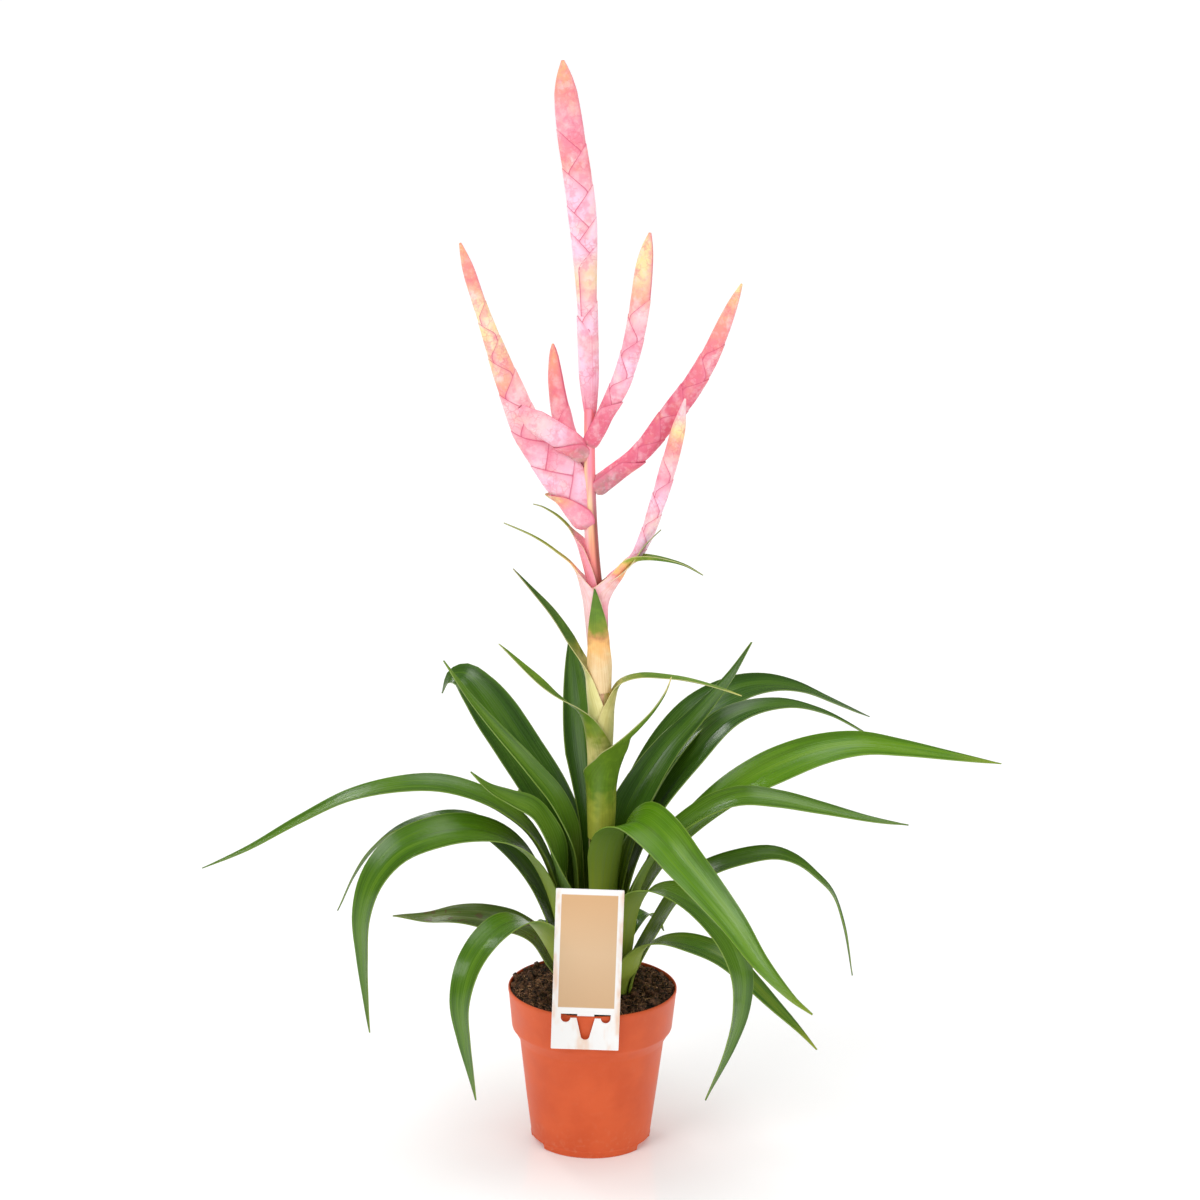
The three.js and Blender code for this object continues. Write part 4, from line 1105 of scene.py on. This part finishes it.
# The maroon stops are painted shade: the middle and right ramps darken where a bract hides the stem from
# the light.
left = [(0, CREAM), (0.2, ROSE), (0.45, BLUSH), (0.62, APRICOT), (0.78, CREAM), (1, ROSE)]
middle = [(0, CREAM), (0.22, PAINTED_SHADE_MAROON), (0.32, SALMON), (0.42, APRICOT), (0.6, CREAM), (0.75, PINK),
          (1, PINK)]
right = [(0, STRAW), (0.2, PAINTED_SHADE_MAROON), (0.5, PAINTED_SHADE_MAROON), (0.62, DRY), (0.75, ROSE), (1, ROSE)]
left, middle, right = (stalk.ramp(share, stops) for stops in (left, middle, right))
stalk.colour = stalk.tint(stalk.between(side, -0.75, -0.1), left, middle)
stalk.over(stalk.between(side, 0.1, 0.7), right)
stripe = stalk.add("Mapping", {"Vector": stalk.place, "Scale": (900, 900, 30)}).outputs[0]
strands = stalk.grain(stripe, 1.0)
stalk.over(stalk.between(strands, 0.4, 0.7, 0.0, 0.35), DEEP_PINK)
finish_piece(stem, "stem", stalk.finished(strands, 0.3, 0.0005), "flower_stem")
print("stem faces:", len(stem.data.polygons))

# %% The table of bracts
BRACTS = [
    dict(name="low_left", turn=226, swing=-40, clasp=140, hold=0.3, sheath=0.58, roll=-24, roll_to=0.8,
         half_width=8, belly=0.62,
         tints=[(0, STRAW), (0.3, STRAW), (0.42, OLIVE), (0.55, FRESH), (1, FRESH)],
         midrib=[(7.6, 236), (9.1, 272), (10.2, 300), (14.5, 318), (24, 328), (34, 335.5), (54, 354),
                 (70, 370)]),
    dict(name="low_right", turn=285, swing=55, hold=0.3, sheath=0.5, roll=12, half_width=12,
         belly=0.56, taper=0.85,
         tints=[(0, LIME), (0.14, LIME), (0.3, FRESH), (0.9, FRESH), (1, STRAW)],
         midrib=[(9, 227), (10, 248), (11, 268), (15, 284), (24, 300), (34, 313), (43, 327),
                 (49.5, 340), (53, 351)]),
    dict(name="thin_back", turn=122, clasp=34, sheath=0.3, half_width=4,
         tints=[(0, LIME), (0.3, GREEN), (1, GREEN)],
         midrib=[(7.7, 196), (10, 226), (12.5, 262), (13.5, 300), (13.5, 330), (13, 348)]),
    dict(name="right_long", turn=355, clasp=135, hold=0.1, half_width=6.5, sheath=0.5,
         tints=[(0, IVORY), (0.3, STRAW), (0.43, OLIVE), (0.55, FRESH), (0.92, FRESH), (1, LIME)],
         midrib=[(7.6, 284), (9, 308), (10.4, 327), (15, 341), (28, 347), (50, 346), (75, 342),
                 (99, 335)]),
    dict(name="left_dark", turn=172, clasp=135, hold=0.05, sheath=0.46, roll=-12, roll_from=0.32,
         roll_to=0.52, half_width=7,
         tints=[(0, IVORY), (0.25, IVORY), (0.42, OLIVE), (0.55, GREEN), (1, DEEP_GREEN)],
         midrib=[(7.6, 312), (9.1, 332), (10.4, 348), (18, 366), (36, 393), (57, 420)]),
    dict(name="front_erect", turn=268, clasp=120, sheath=0.5, half_width=8.5,
         tints=[(0, CREAM), (0.25, CREAM), (0.45, AMBER), (0.53, RUST), (0.6, OLIVE), (0.75, FRESH),
                (1, GREEN)],
         midrib=[(7.6, 335), (8.7, 356), (10, 378), (11.4, 395), (12, 412)]),
    dict(name="pink_left", turn=184, clasp=135, hold=0.34, sheath=0.56, half_width=5,
         tints=[(0, BLUSH), (0.46, BLUSH), (0.54, AMBER), (0.62, LIME), (0.75, OLIVE), (1, FRESH)],
         midrib=[(7.6, 362), (8.9, 384), (10, 404), (14.5, 425), (26, 436), (40, 446), (60, 456)]),
    dict(name="pink_right", turn=345, clasp=110, sheath=0.16, half_width=10, belly=0.25, taper=0.55,
         channel=0.95, cup_from=0.7,
         tints=[(0, DRY), (0.08, PINK), (0.3, BLUSH), (0.4, SALMON), (0.46, AMBER), (0.54, LIME),
                (0.68, FRESH), (1, GREEN)],
         midrib=[(6.4, 380), (7.6, 397), (11.5, 407), (20, 419), (26, 428), (32, 431.5), (45, 433),
                 (64, 431), (78, 425)]),
    dict(name="thin_left", turn=176, swing=-24, clasp=118, hold=0.46, sheath=0.62, half_width=2.6,
         tints=[(0, ROSE), (0.15, PINK), (0.5, PINK), (0.62, OLIVE), (1, GREEN)],
         midrib=[(5.2, 402), (6.2, 418), (8.2, 431), (11, 443), (15, 451), (24, 458), (36, 462),
                 (45, 463)]),
]

# %% Bracts
BRACT_THICKNESS = 0.6
BRACT_ROWS = 44
BRACT_COLUMNS = 20
BRACT = {**STRAP, "clasp": 150, "sheath": 0.45, "belly": 0.5, "channel": 0.3, "cup_from": 1,
         "on_stem": True, "keel": 0.06, "wave": 0.15}


def bract_finish(name, tints):
    coat = Finish("bract_" + name, Roughness=0.4, Specular_IOR_Level=0.35)
    marks = ribbed(coat, 34.0, 0.03)
    along = coat.maths("SUBTRACT", marks["Along"], 0.035)
    coat.colour = coat.ramp(coat.maths("MULTIPLY_ADD", mottled(coat, 0.009), 0.07, along), tints)
    coat.over(coat.between(marks["Rib"], 0.4, 0.8, 0.0, 0.35), (0.62, 0.5, 0.2), "MULTIPLY")
    coat.over(coat.times(mottled(coat, 0.005, 0.45, 0.7), 0.3), (1.0, 0.93, 0.9), "SOFT_LIGHT")
    coat.over(coat.times(marks["Margin"], 0.45), (0.8, 0.68, 0.36))
    return coat.finished(marks["Rib"], 0.3, 0.0005)


def bract_strap(bract):
    return {**BRACT, **bract, "line": Line(bract["midrib"])}


for bract in BRACTS:
    name, strap = bract["name"], bract_strap(bract)
    blade = strap_piece("bract_blade_" + name, strap, BRACT_ROWS, BRACT_COLUMNS, BRACT_THICKNESS)
    coat = bract_finish(name, bract["tints"])
    finish_piece(blade, "bract", [coat, coat], "bract_" + name)
print("bracts:", len(BRACTS))

# %% [markdown]
# ## The spikes
#
# A spike is flat. Two ranks of bracts, like folded boats, clasp its two edges in turn. The margins
# of each leave its own edge on a slant and cross most of both faces, so that a braid runs up the
# middle. One scale is modelled as a small grid and copied up the spike, and its points are laid on
# the spike's skin: deeper at its foot, where the scale before covers it, and proud at its tip. A
# core drawn out of a sphere fills the spike. Each point keeps how high it stands on its spike and
# a chance number of its scale, which the finish uses. At four feet one more scale, a cap, hugs the
# spike on its way out of the stem, and the thin right spike has a small leaf there.

# %% The table of spikes
SPIKES = [
    dict(name="top", turn=180, foot=534,
         tips=[(0.29, 0), (0.33, 1), (0.49, 1), (0.525, 0), (0.562, 1), (0.6, 0), (0.65, 1),
               (0.706, 0), (0.763, 1), (0.814, 0)],
         widths=[(0, 9), (0.03, 10.4), (0.1, 14.4), (0.38, 15), (0.58, 20), (0.85, 18.6), (0.94, 14.5),
                 (1, 1.6)],
         path=[(-0.8, 530), (0.6, 560), (1.8, 590), (3.5, 625), (5.5, 660), (9, 690), (14, 720),
               (18, 748), (21, 776)],
         tints=[(0, DEEP_PINK), (0.06, PINK), (0.16, LILAC), (0.28, LILAC), (0.36, BLUSH), (0.42, CREAM),
                (0.5, LILAC), (0.62, LILAC), (0.74, ROSE), (0.84, PINK), (0.92, SALMON), (0.98, APRICOT)]),
    dict(name="right_upper", turn=330, foot=520,
         widths=[(0, 11), (0.17, 12), (0.3, 14.6), (0.7, 15.4), (0.84, 13.8), (0.93, 9.6), (1, 1.6)],
         path=[(-1, 511), (9.5, 530), (24, 558), (33, 586), (38, 614), (41, 640), (45, 664)],
         tints=[(0, DEEP_PINK), (0.16, DEEP_PINK), (0.25, PINK), (0.42, LILAC), (0.52, PINK), (0.6, BLUSH),
                (0.7, SALMON), (0.8, CREAM), (0.88, GOLD), (0.96, GOLD), (1, APRICOT)],
         cap=dict(end=0.26, foot=1.3, tints=[(0, DRY), (0.12, DEEP_PINK), (0.6, DEEP_PINK), (1, PINK)])),
    dict(name="back", turn=140, foot=492,
         widths=[(0, 10), (0.45, 17.6), (0.75, 12.8), (0.92, 7.4), (1, 1.4)],
         path=[(5, 492), (14.5, 507), (24.5, 524), (30.5, 546), (34.5, 577)],
         tints=[(0, PINK), (0.4, PINK), (0.6, ROSE), (0.8, SALMON), (0.93, APRICOT)]),
    dict(name="left_upper", turn=197, foot=506, widths=[(0, 14), (0.3, 18), (0.75, 17), (1, 4)],
         path=[(1.5, 503), (13, 513), (25, 521), (40, 531), (50, 541)],
         tints=[(0, DRY), (0.12, DEEP_PINK), (0.3, PINK), (0.45, LILAC), (0.7, BLUSH), (1, PINK)],
         cap=dict(end=0.4, tints=[(0, DRY), (0.3, DRY), (0.55, DEEP_PINK), (1, PINK)])),
    dict(name="left_lower", turn=180, foot=456,
         widths=[(0, 15), (0.05, 20), (0.16, 32), (0.3, 27), (0.42, 21), (0.5, 18.8), (0.62, 14.5),
                 (0.75, 10.4), (0.92, 9), (1, 1.6)],
         path=[(1.5, 453), (7.5, 468), (15.5, 483), (36, 511), (44.5, 523), (55, 548), (64, 571),
               (71, 590.5), (78, 610), (91, 651)],
         tints=[(0, DRY), (0.06, PINK), (0.16, LILAC), (0.3, PINK), (0.44, BLUSH), (0.54, SALMON),
                (0.64, CREAM), (0.72, GOLD), (0.8, CREAM), (0.88, SALMON), (0.97, APRICOT)],
         cap=dict(end=0.165, foot=1.6, flick=2.2,
                  tints=[(0, DRY), (0.12, PINK), (0.5, PINK), (0.7, APRICOT), (0.88, STRAW), (1, LIME)])),
    dict(name="right_lower", turn=4, foot=484,
         widths=[(0, 15.5), (0.15, 13.2), (0.45, 16.8), (0.67, 14), (0.83, 11), (0.93, 7), (1, 1.4)],
         path=[(2.5, 480), (18, 492), (34, 505), (52, 528), (68, 550), (80, 571), (95, 607), (102, 624)],
         tints=[(0, DRY), (0.07, DEEP_PINK), (0.25, DEEP_PINK), (0.55, DEEP_PINK), (0.7, ROSE),
                (0.82, SALMON), (0.92, APRICOT), (0.98, GOLD)],
         cap=dict(end=0.22, tints=[(0, DRY), (0.35, DRY), (0.7, DEEP_PINK), (1, DEEP_PINK)])),
    dict(name="right_thin", turn=352, foot=420,
         widths=[(0, 4), (0.1, 5), (0.22, 9), (0.35, 10.6), (0.65, 12), (0.85, 10.5), (1, 1.4)],
         path=[(9, 417), (15, 422), (22, 427.5), (29, 434), (33.5, 442.5), (37.5, 453), (41.5, 466),
               (47.5, 487), (55, 517), (61, 547)],
         tints=[(0, PINK), (0.25, LILAC), (0.35, BLUSH), (0.45, LILAC), (0.56, PINK), (0.66, BLUSH),
                (0.76, SALMON), (0.84, GOLD), (0.92, BLUSH), (1, BLUSH)],
         cover=dict(turn=345, clasp=40, half_width=3, sheath=0.58,
                    tints=[(0, BLUSH), (0.55, LIME), (0.7, GREEN), (1, DEEP_GREEN)],
                    midrib=[(9, 413), (20, 421), (29, 430), (36, 440), (42, 447), (50, 455)])),
]

# %% Spikes
SPIKE_FLATNESS = 0.42
SPIKE_DEEPEST = 3.4
SCALE_PITCH = 13
SCALE_LENGTH = 2.6
SCALE_SLANT = 0.85
SCALE_REACH = 0.82
SCALE_THICKNESS = 0.3
SCALE_ROWS = 16
SCALE_COLUMNS = 14
CHANCE_SEED = 5
TONGUE_LENGTH = 42
TONGUE_COLUMNS = 24
CORE_SIDES = 20
CORE_RINGS = 28
CORE_ENDS = (0.004, 0.97)
CORE_INSET = 0.6
SPIKE_END = 0.997
COVER_ROWS = 24
COVER_COLUMNS = 16


def width_at(spike, u):
    """The spike's width at u of its length: straight between the given widths, slightly eased."""
    total = 0
    ease = min(0.03, u, 1 - u)
    for place in (u - ease, u, u + ease):
        for (start, narrow), (end, wide) in zip(spike["widths"], spike["widths"][1:]):
            if place <= end:
                total += mix(narrow, wide, (place - start) / (end - start))
                break
    return total / 3


def skin(spike, u, angle, proud, inward=0.0):
    """A point of the spike's skin: the angle is measured from its outer edge."""
    u = min(max(u, 0), SPIKE_END)
    middle, along = spike["line"].at(u)
    rounding = min(1, (u * spike["line"].lengths[-1] + 1.5) / 6)
    half = max(width_at(spike, u) / 2 - 0.3, 0.35)
    depth = min(max(half - 0.6, 0) * SPIKE_FLATNESS, SPIKE_DEEPEST) + min(half, 1.2)
    share = (1 - inward) * math.sqrt(1 - (1 - rounding) ** 2)
    reach = (half + proud) * math.cos(angle) * share
    thick = (depth + proud) * math.sin(angle) * share
    point = Vector((middle.x + along.y * reach, thick, middle.y - along.x * reach))
    point.rotate(Quaternion(UP, math.radians(spike["turn"])))
    point.x += stem_offset(spike["foot"])
    return point


def spike_core(spike):
    """A sphere, drawn out along the spike so that it fills the scales."""
    bpy.ops.mesh.primitive_uv_sphere_add(
        segments=CORE_SIDES, ring_count=CORE_RINGS, radius=1, location=(0, 0, 0))
    obj = added("core")
    rises = []
    for point in obj.data.vertices:
        u = mix(*CORE_ENDS, (point.co.z + 1) / 2)
        angle = math.atan2(point.co.y, point.co.x)
        at_end = math.hypot(point.co.x, point.co.y)
        point.co = skin(spike, u, angle, -CORE_INSET, 1 - min(1, at_end * 2.2)) * MM
        rises.append(u)
    note_on_points(obj, "rise", rises)
    note_on_points(obj, "chance", [0.5] * len(rises))
    return obj


def scale_reach(v, slanted):
    """How far across the face the margin lies, at v of the scale. The share slanted is its slope."""
    slant = 0.02 + (SCALE_REACH - 0.04) * (1 - v) / slanted
    blend = min(max(0.5 + (SCALE_REACH - slant) / 0.24, 0), 1)
    return mix(SCALE_REACH, slant, blend) - 0.12 * blend * (1 - blend)


def spike_scale(spike, start, end, side, chance, tongue=False, cap=None):
    """One scale: a grid laid over one edge of the spike, from its clasping foot to its tip. The
    last one is a tongue, which wraps the whole tip. A cap is the bract that hugs the foot."""
    columns = TONGUE_COLUMNS if tongue else SCALE_COLUMNS
    bpy.ops.mesh.primitive_grid_add(x_subdivisions=columns, y_subdivisions=SCALE_ROWS, size=1)
    obj = added("scale")
    slanted = SCALE_SLANT * width_at(spike, end) / ((end - start) * spike["line"].lengths[-1])
    rises = []
    for point in obj.data.vertices:
        across, v = point.co.x * 2, point.co.y + 0.5
        u = mix(start, end, v)
        reach = math.pi if tongue else math.acos(1 - 2 * scale_reach(v, slanted))
        swell = 0.22 * (1 - across * across) * smooth(v, 0.2, 0.6) * (1 - v * v)
        margin = 0.1 * across ** 4 * smooth(v, 0.5, 0.7) * (1 - v)
        pucker = 0.1 * noise.noise(Vector((across * 2.5, v * 7, 40 * chance))) * (1 - v)
        relief = pucker if tongue else swell + margin + pucker
        proud = mix(-0.42, 0.08, v)
        if cap:
            flick = cap.get("flick", 0.4) * smooth(v, 0.7, 1)
            proud = mix(cap.get("foot", 0.45), 0.45, smooth(v, 0.3, 0.7)) + flick
        point.co = skin(spike, u, side * math.pi + across * reach, proud + relief) * MM
        rises.append(v if cap else min(u, 1))
    note_on_points(obj, "rise", rises)
    note_on_points(obj, "chance", [chance] * len(rises))
    obj.data.update()
    return obj


# Each row: the size of the patches, where they begin and are full, their strength, their colour.
SPIKE_CLOUDS = [
    (0.016, 0.5, 0.72, 0.35, (0.98, 0.55, 0.36)),
    (0.010, 0.5, 0.72, 0.45, (0.98, 0.74, 0.78)),
    (0.0065, 0.48, 0.68, 0.45, (0.86, 0.18, 0.28)),
    (0.0028, 0.5, 0.66, 0.16, (0.99, 0.8, 0.8)),
]


def spike_finish(name, tints):
    coat = Finish("spike_" + name, Roughness=0.48, Specular_IOR_Level=0.3, Subsurface_Weight=0.12,
                  Subsurface_Scale=0.004)
    rise = coat.add("Attribute", attribute_name="rise").outputs["Fac"]
    chance = coat.add("Attribute", attribute_name="chance").outputs["Fac"]
    marks = ribbed(coat, 14.0, 0.045)
    shifted = coat.maths("MULTIPLY_ADD", coat.maths("SUBTRACT", chance, 0.5), 0.08, rise)
    coat.colour = coat.ramp(shifted, tints)
    for size, low, high, strength, colour in SPIKE_CLOUDS:
        coat.over(coat.times(mottled(coat, size, low, high), strength), colour)
    net = coat.placed(veins, {"Place": coat.place, "Size": 0.0045}).outputs["Mask"]
    net = coat.times(net, coat.times(mottled(coat, 0.012, 0.44, 0.62), 0.42))
    coat.over(net, (0.76, 0.12, 0.2))
    coat.over(coat.between(marks["Across"], 0.6, 1.0, 0.0, 0.5), (0.88, 0.22, 0.32))
    coat.over(coat.times(marks["Margin"], 0.85), (0.68, 0.09, 0.18))
    return coat.finished(marks["Rib"], 0.25, 0.0006)


chances = random.Random(CHANCE_SEED)


def braid(spike):
    """The two ranks of scales, from the foot up, and the tongue that wraps the tip."""
    length = spike["line"].lengths[-1]
    pitch = 1 / round(length / SCALE_PITCH)
    tongue = min(TONGUE_LENGTH / length, 0.5)
    regular = [((k + SCALE_LENGTH) * pitch, k % 2) for k in range(round(1 / pitch))]
    regular = [(end, side) for end, side in regular if end < 1 - tongue]
    scales, ends = [], [0, 0]
    for end, side in spike.get("tips", regular):
        start = max(min(ends[-2], end - SCALE_LENGTH * pitch), 0)
        scales.append(spike_scale(spike, start, end, side, chances.random()))
        ends.append(end)
    start = max(min(ends[-2:]) - pitch, 0)
    scales.append(spike_scale(spike, start, 1, len(scales) % 2, 0.5, tongue=True))
    return walled(joined("scales", scales), SCALE_THICKNESS)


def spike_cap(spike):
    cap = spike_scale(spike, 0, spike["cap"]["end"], 0, 0.5, cap=spike["cap"])
    cap = walled(cap, SCALE_THICKNESS)
    cap.data.materials.append(spike_finish("cap_" + spike["name"], spike["cap"]["tints"]))
    return cap


def spike_cover(spike):
    coat = bract_finish("cover_" + spike["name"], spike["cover"]["tints"])
    strap = bract_strap(spike["cover"])
    cover = strap_piece("cover", strap, COVER_ROWS, COVER_COLUMNS, BRACT_THICKNESS)
    cover.data.materials[0] = cover.data.materials[1] = coat
    return cover


for spike in SPIKES:
    spike["line"] = Line(spike["path"])
    built = joined("scales", [braid(spike), spike_core(spike)])
    built.data.materials.append(spike_finish(spike["name"], spike["tints"]))
    if "cap" in spike:
        built = joined("scales", [built, spike_cap(spike)])
    if "cover" in spike:
        built = joined("scales", [built, spike_cover(spike)])
    built.name = built.data.name = "spike_scales_" + spike["name"]
    shade(built, 50)
    finish_piece(built, "spike", list(built.data.materials), "spike_" + spike["name"])
    print("spike", spike["name"], "faces:", len(built.data.polygons))

# %% [markdown]
# ## The plant card
#
# A stiff card hangs outside the pot. A tongue is cut out of it, folds back over the rim and
# holds it from inside. The board is a thin block with its corners rounded, and the outline of
# the cut is a flat face, extruded and taken out of it. The tongue is a strip bent over the rim.
# The card has a tan panel in a white border, darkened by a soft warm painted shade toward its
# foot and sides. The panel is left plain.

# %% Card
CLEARANCE = 0.35
CARD_WIDTH = 47.4
CARD_HEIGHT = 119
CARD_THICKNESS = 0.6
CARD_MIDDLE = -4.4
CARD_CENTRE = 150.3
CARD_LEAN = 1.2
CORNER_RADIUS = 0.7
CARD_FACE = RIM_RADIUS + CLEARANCE
SLOT_TOP = 117.2
SLOT_BOTTOM = 114.2
SLOT_HALF = 17.4
LOBE_RADIUS = 3.4
TONGUE_TOP_HALF = 6.4
TONGUE_TIP_HALF = 3.2
TONGUE_TIP = 98
TONGUE_DEPTH = 55.3
ON_RIM = POT_HEIGHT + CLEARANCE


def arc(x, z, radius, steps=8):
    """The lower half of a circle, from left to right."""
    angles = [math.pi + math.pi * k / steps for k in range(steps + 1)]
    return [(x + radius * math.cos(a), z + radius * math.sin(a)) for a in angles]


def cut_outline():
    lobe = SLOT_HALF - LOBE_RADIUS
    return [(-SLOT_HALF, SLOT_TOP), *arc(-lobe, SLOT_BOTTOM, LOBE_RADIUS), (-TONGUE_TOP_HALF, SLOT_BOTTOM),
            *arc(0, TONGUE_TIP + TONGUE_TIP_HALF, TONGUE_TIP_HALF), (TONGUE_TOP_HALF, SLOT_BOTTOM),
            *arc(lobe, SLOT_BOTTOM, LOBE_RADIUS), (SLOT_HALF, SLOT_TOP)]


def upright_slab(name, outline, front, thickness):
    """A flat upright face with this outline of (x, z), extruded backward."""
    obj = flat_face(name, [(x, front, z) for x, z in outline])
    edit_all()
    extrude(0, thickness, 0)
    close_edit()
    return obj


def corner_arcs(half, low, high, radius, steps=5):
    places = [(half - radius, low + radius, -90), (half - radius, high - radius, 0),
              (radius - half, high - radius, 90), (radius - half, low + radius, 180)]
    return [(x + radius * math.cos(math.radians(a + 90 * k / steps)),
             z + radius * math.sin(math.radians(a + 90 * k / steps)))
            for x, z, a in places for k in range(steps + 1)]


front = -(CARD_FACE + CARD_THICKNESS)
low, high = CARD_CENTRE - CARD_HEIGHT / 2, CARD_CENTRE + CARD_HEIGHT / 2
outline = corner_arcs(CARD_WIDTH / 2, low, high, CORNER_RADIUS)
card = upright_slab("card_board", outline, front, CARD_THICKNESS)
carve(card, upright_slab("cut", cut_outline(), front - 3, 6 + CARD_THICKNESS))

TONGUE_PATH = [(front + 0.3, SLOT_TOP + 2.5), (front + 0.3, ON_RIM + 0.9), (front + 0.7, ON_RIM + 0.42),
               (front + 1.4, ON_RIM + 0.3), (-TONGUE_DEPTH - 0.9, ON_RIM + 0.3),
               (-TONGUE_DEPTH - 0.2, ON_RIM), (-TONGUE_DEPTH, ON_RIM - 0.7), (-TONGUE_DEPTH, 108),
               (-TONGUE_DEPTH, TONGUE_TIP + 2)]
bpy.ops.object.select_all(action="DESELECT")
bpy.ops.mesh.primitive_grid_add(x_subdivisions=4, y_subdivisions=len(TONGUE_PATH) - 1, size=1)
tongue = added("tongue")
for point in tongue.data.vertices:
    y, z = TONGUE_PATH[round((point.co.y + 0.5) * (len(TONGUE_PATH) - 1))]
    narrow = mix(TONGUE_TOP_HALF - 0.5, TONGUE_TIP_HALF - 0.5, 1 - smooth(z, TONGUE_TIP, ON_RIM))
    point.co = Vector((point.co.x * 2 * narrow, y, z)) * MM
card = joined("plant_card", [card, walled(tongue, CARD_THICKNESS)])

sheet_map = card.data.uv_layers.get("UVMap") or card.data.uv_layers.new(name="UVMap")
for loop in card.data.loops:
    place = card.data.vertices[loop.vertex_index].co / MM
    sheet_map.data[loop.index].uv = (place.x / CARD_WIDTH + 0.5, (place.z - low) / CARD_HEIGHT)
lean = Matrix.Rotation(math.radians(CARD_LEAN), 4, "Y")
stand = Matrix.Translation(Vector((CARD_MIDDLE, 0, ON_RIM)) * MM)
card.data.transform(stand @ lean @ Matrix.Translation(Vector((0, 0, -ON_RIM)) * MM))
shade(card, 30)

# %% Card print
PANEL_ACROSS = (0.085, 0.915)
PANEL_UP = (0.262, 0.965)

paper = Finish("printed_card", Roughness=0.36)
split = paper.add("SeparateXYZ", {"Vector": paper.uv}).outputs


def inside(value, low, high, edge=0.003):
    """A mask that is one between two lines and has a crisp edge."""
    rising = paper.between(value, low - edge, low + edge)
    falling = paper.between(value, high - edge, high + edge, 1.0, 0.0)
    return paper.times(rising, falling)


panel = paper.times(inside(split["X"], *PANEL_ACROSS), inside(split["Y"], *PANEL_UP))
tans = [(0.26, (0.66, 0.42, 0.23)), (0.6, (0.72, 0.49, 0.29)), (0.96, (0.7, 0.42, 0.21))]
# Painted shade: a soft warm tint, in blotches, toward the card's foot and sides.
off_middle = paper.maths("ABSOLUTE", paper.maths("SUBTRACT", split["X"], 0.5))
at_sides = paper.between(off_middle, 0.4, 0.46)
fade = paper.maths("MAXIMUM", paper.between(split["Y"], 0.25, 0.1, 0.0, 0.8), at_sides)
painted_shade = paper.times(mottled(paper, 0.3, 0.45, 0.62, paper.uv), paper.times(fade, 0.9))
paper.colour = paper.tint(painted_shade, (0.93, 0.92, 0.91), (0.86, 0.6, 0.44))
paper.over(panel, paper.ramp(split["Y"], tans))
finish_piece(card, "card", paper.finished(paper.grain(paper.place, 2500.0), 0.05, 0.0002), "card")
print("card faces:", len(card.data.polygons))

# %% [markdown]
# ## Measure and finish
#
# The dressed plant should fill the same box as the solids it stands for. Both boxes are printed,
# so that they can be compared.

# %% Size
shown_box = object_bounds()
for label, (lowest, highest) in (("cad", cad_box), ("shown", shown_box)):
    print(label, "box in mm:", [round((b - a) / MM, 1) for a, b in zip(lowest, highest)])
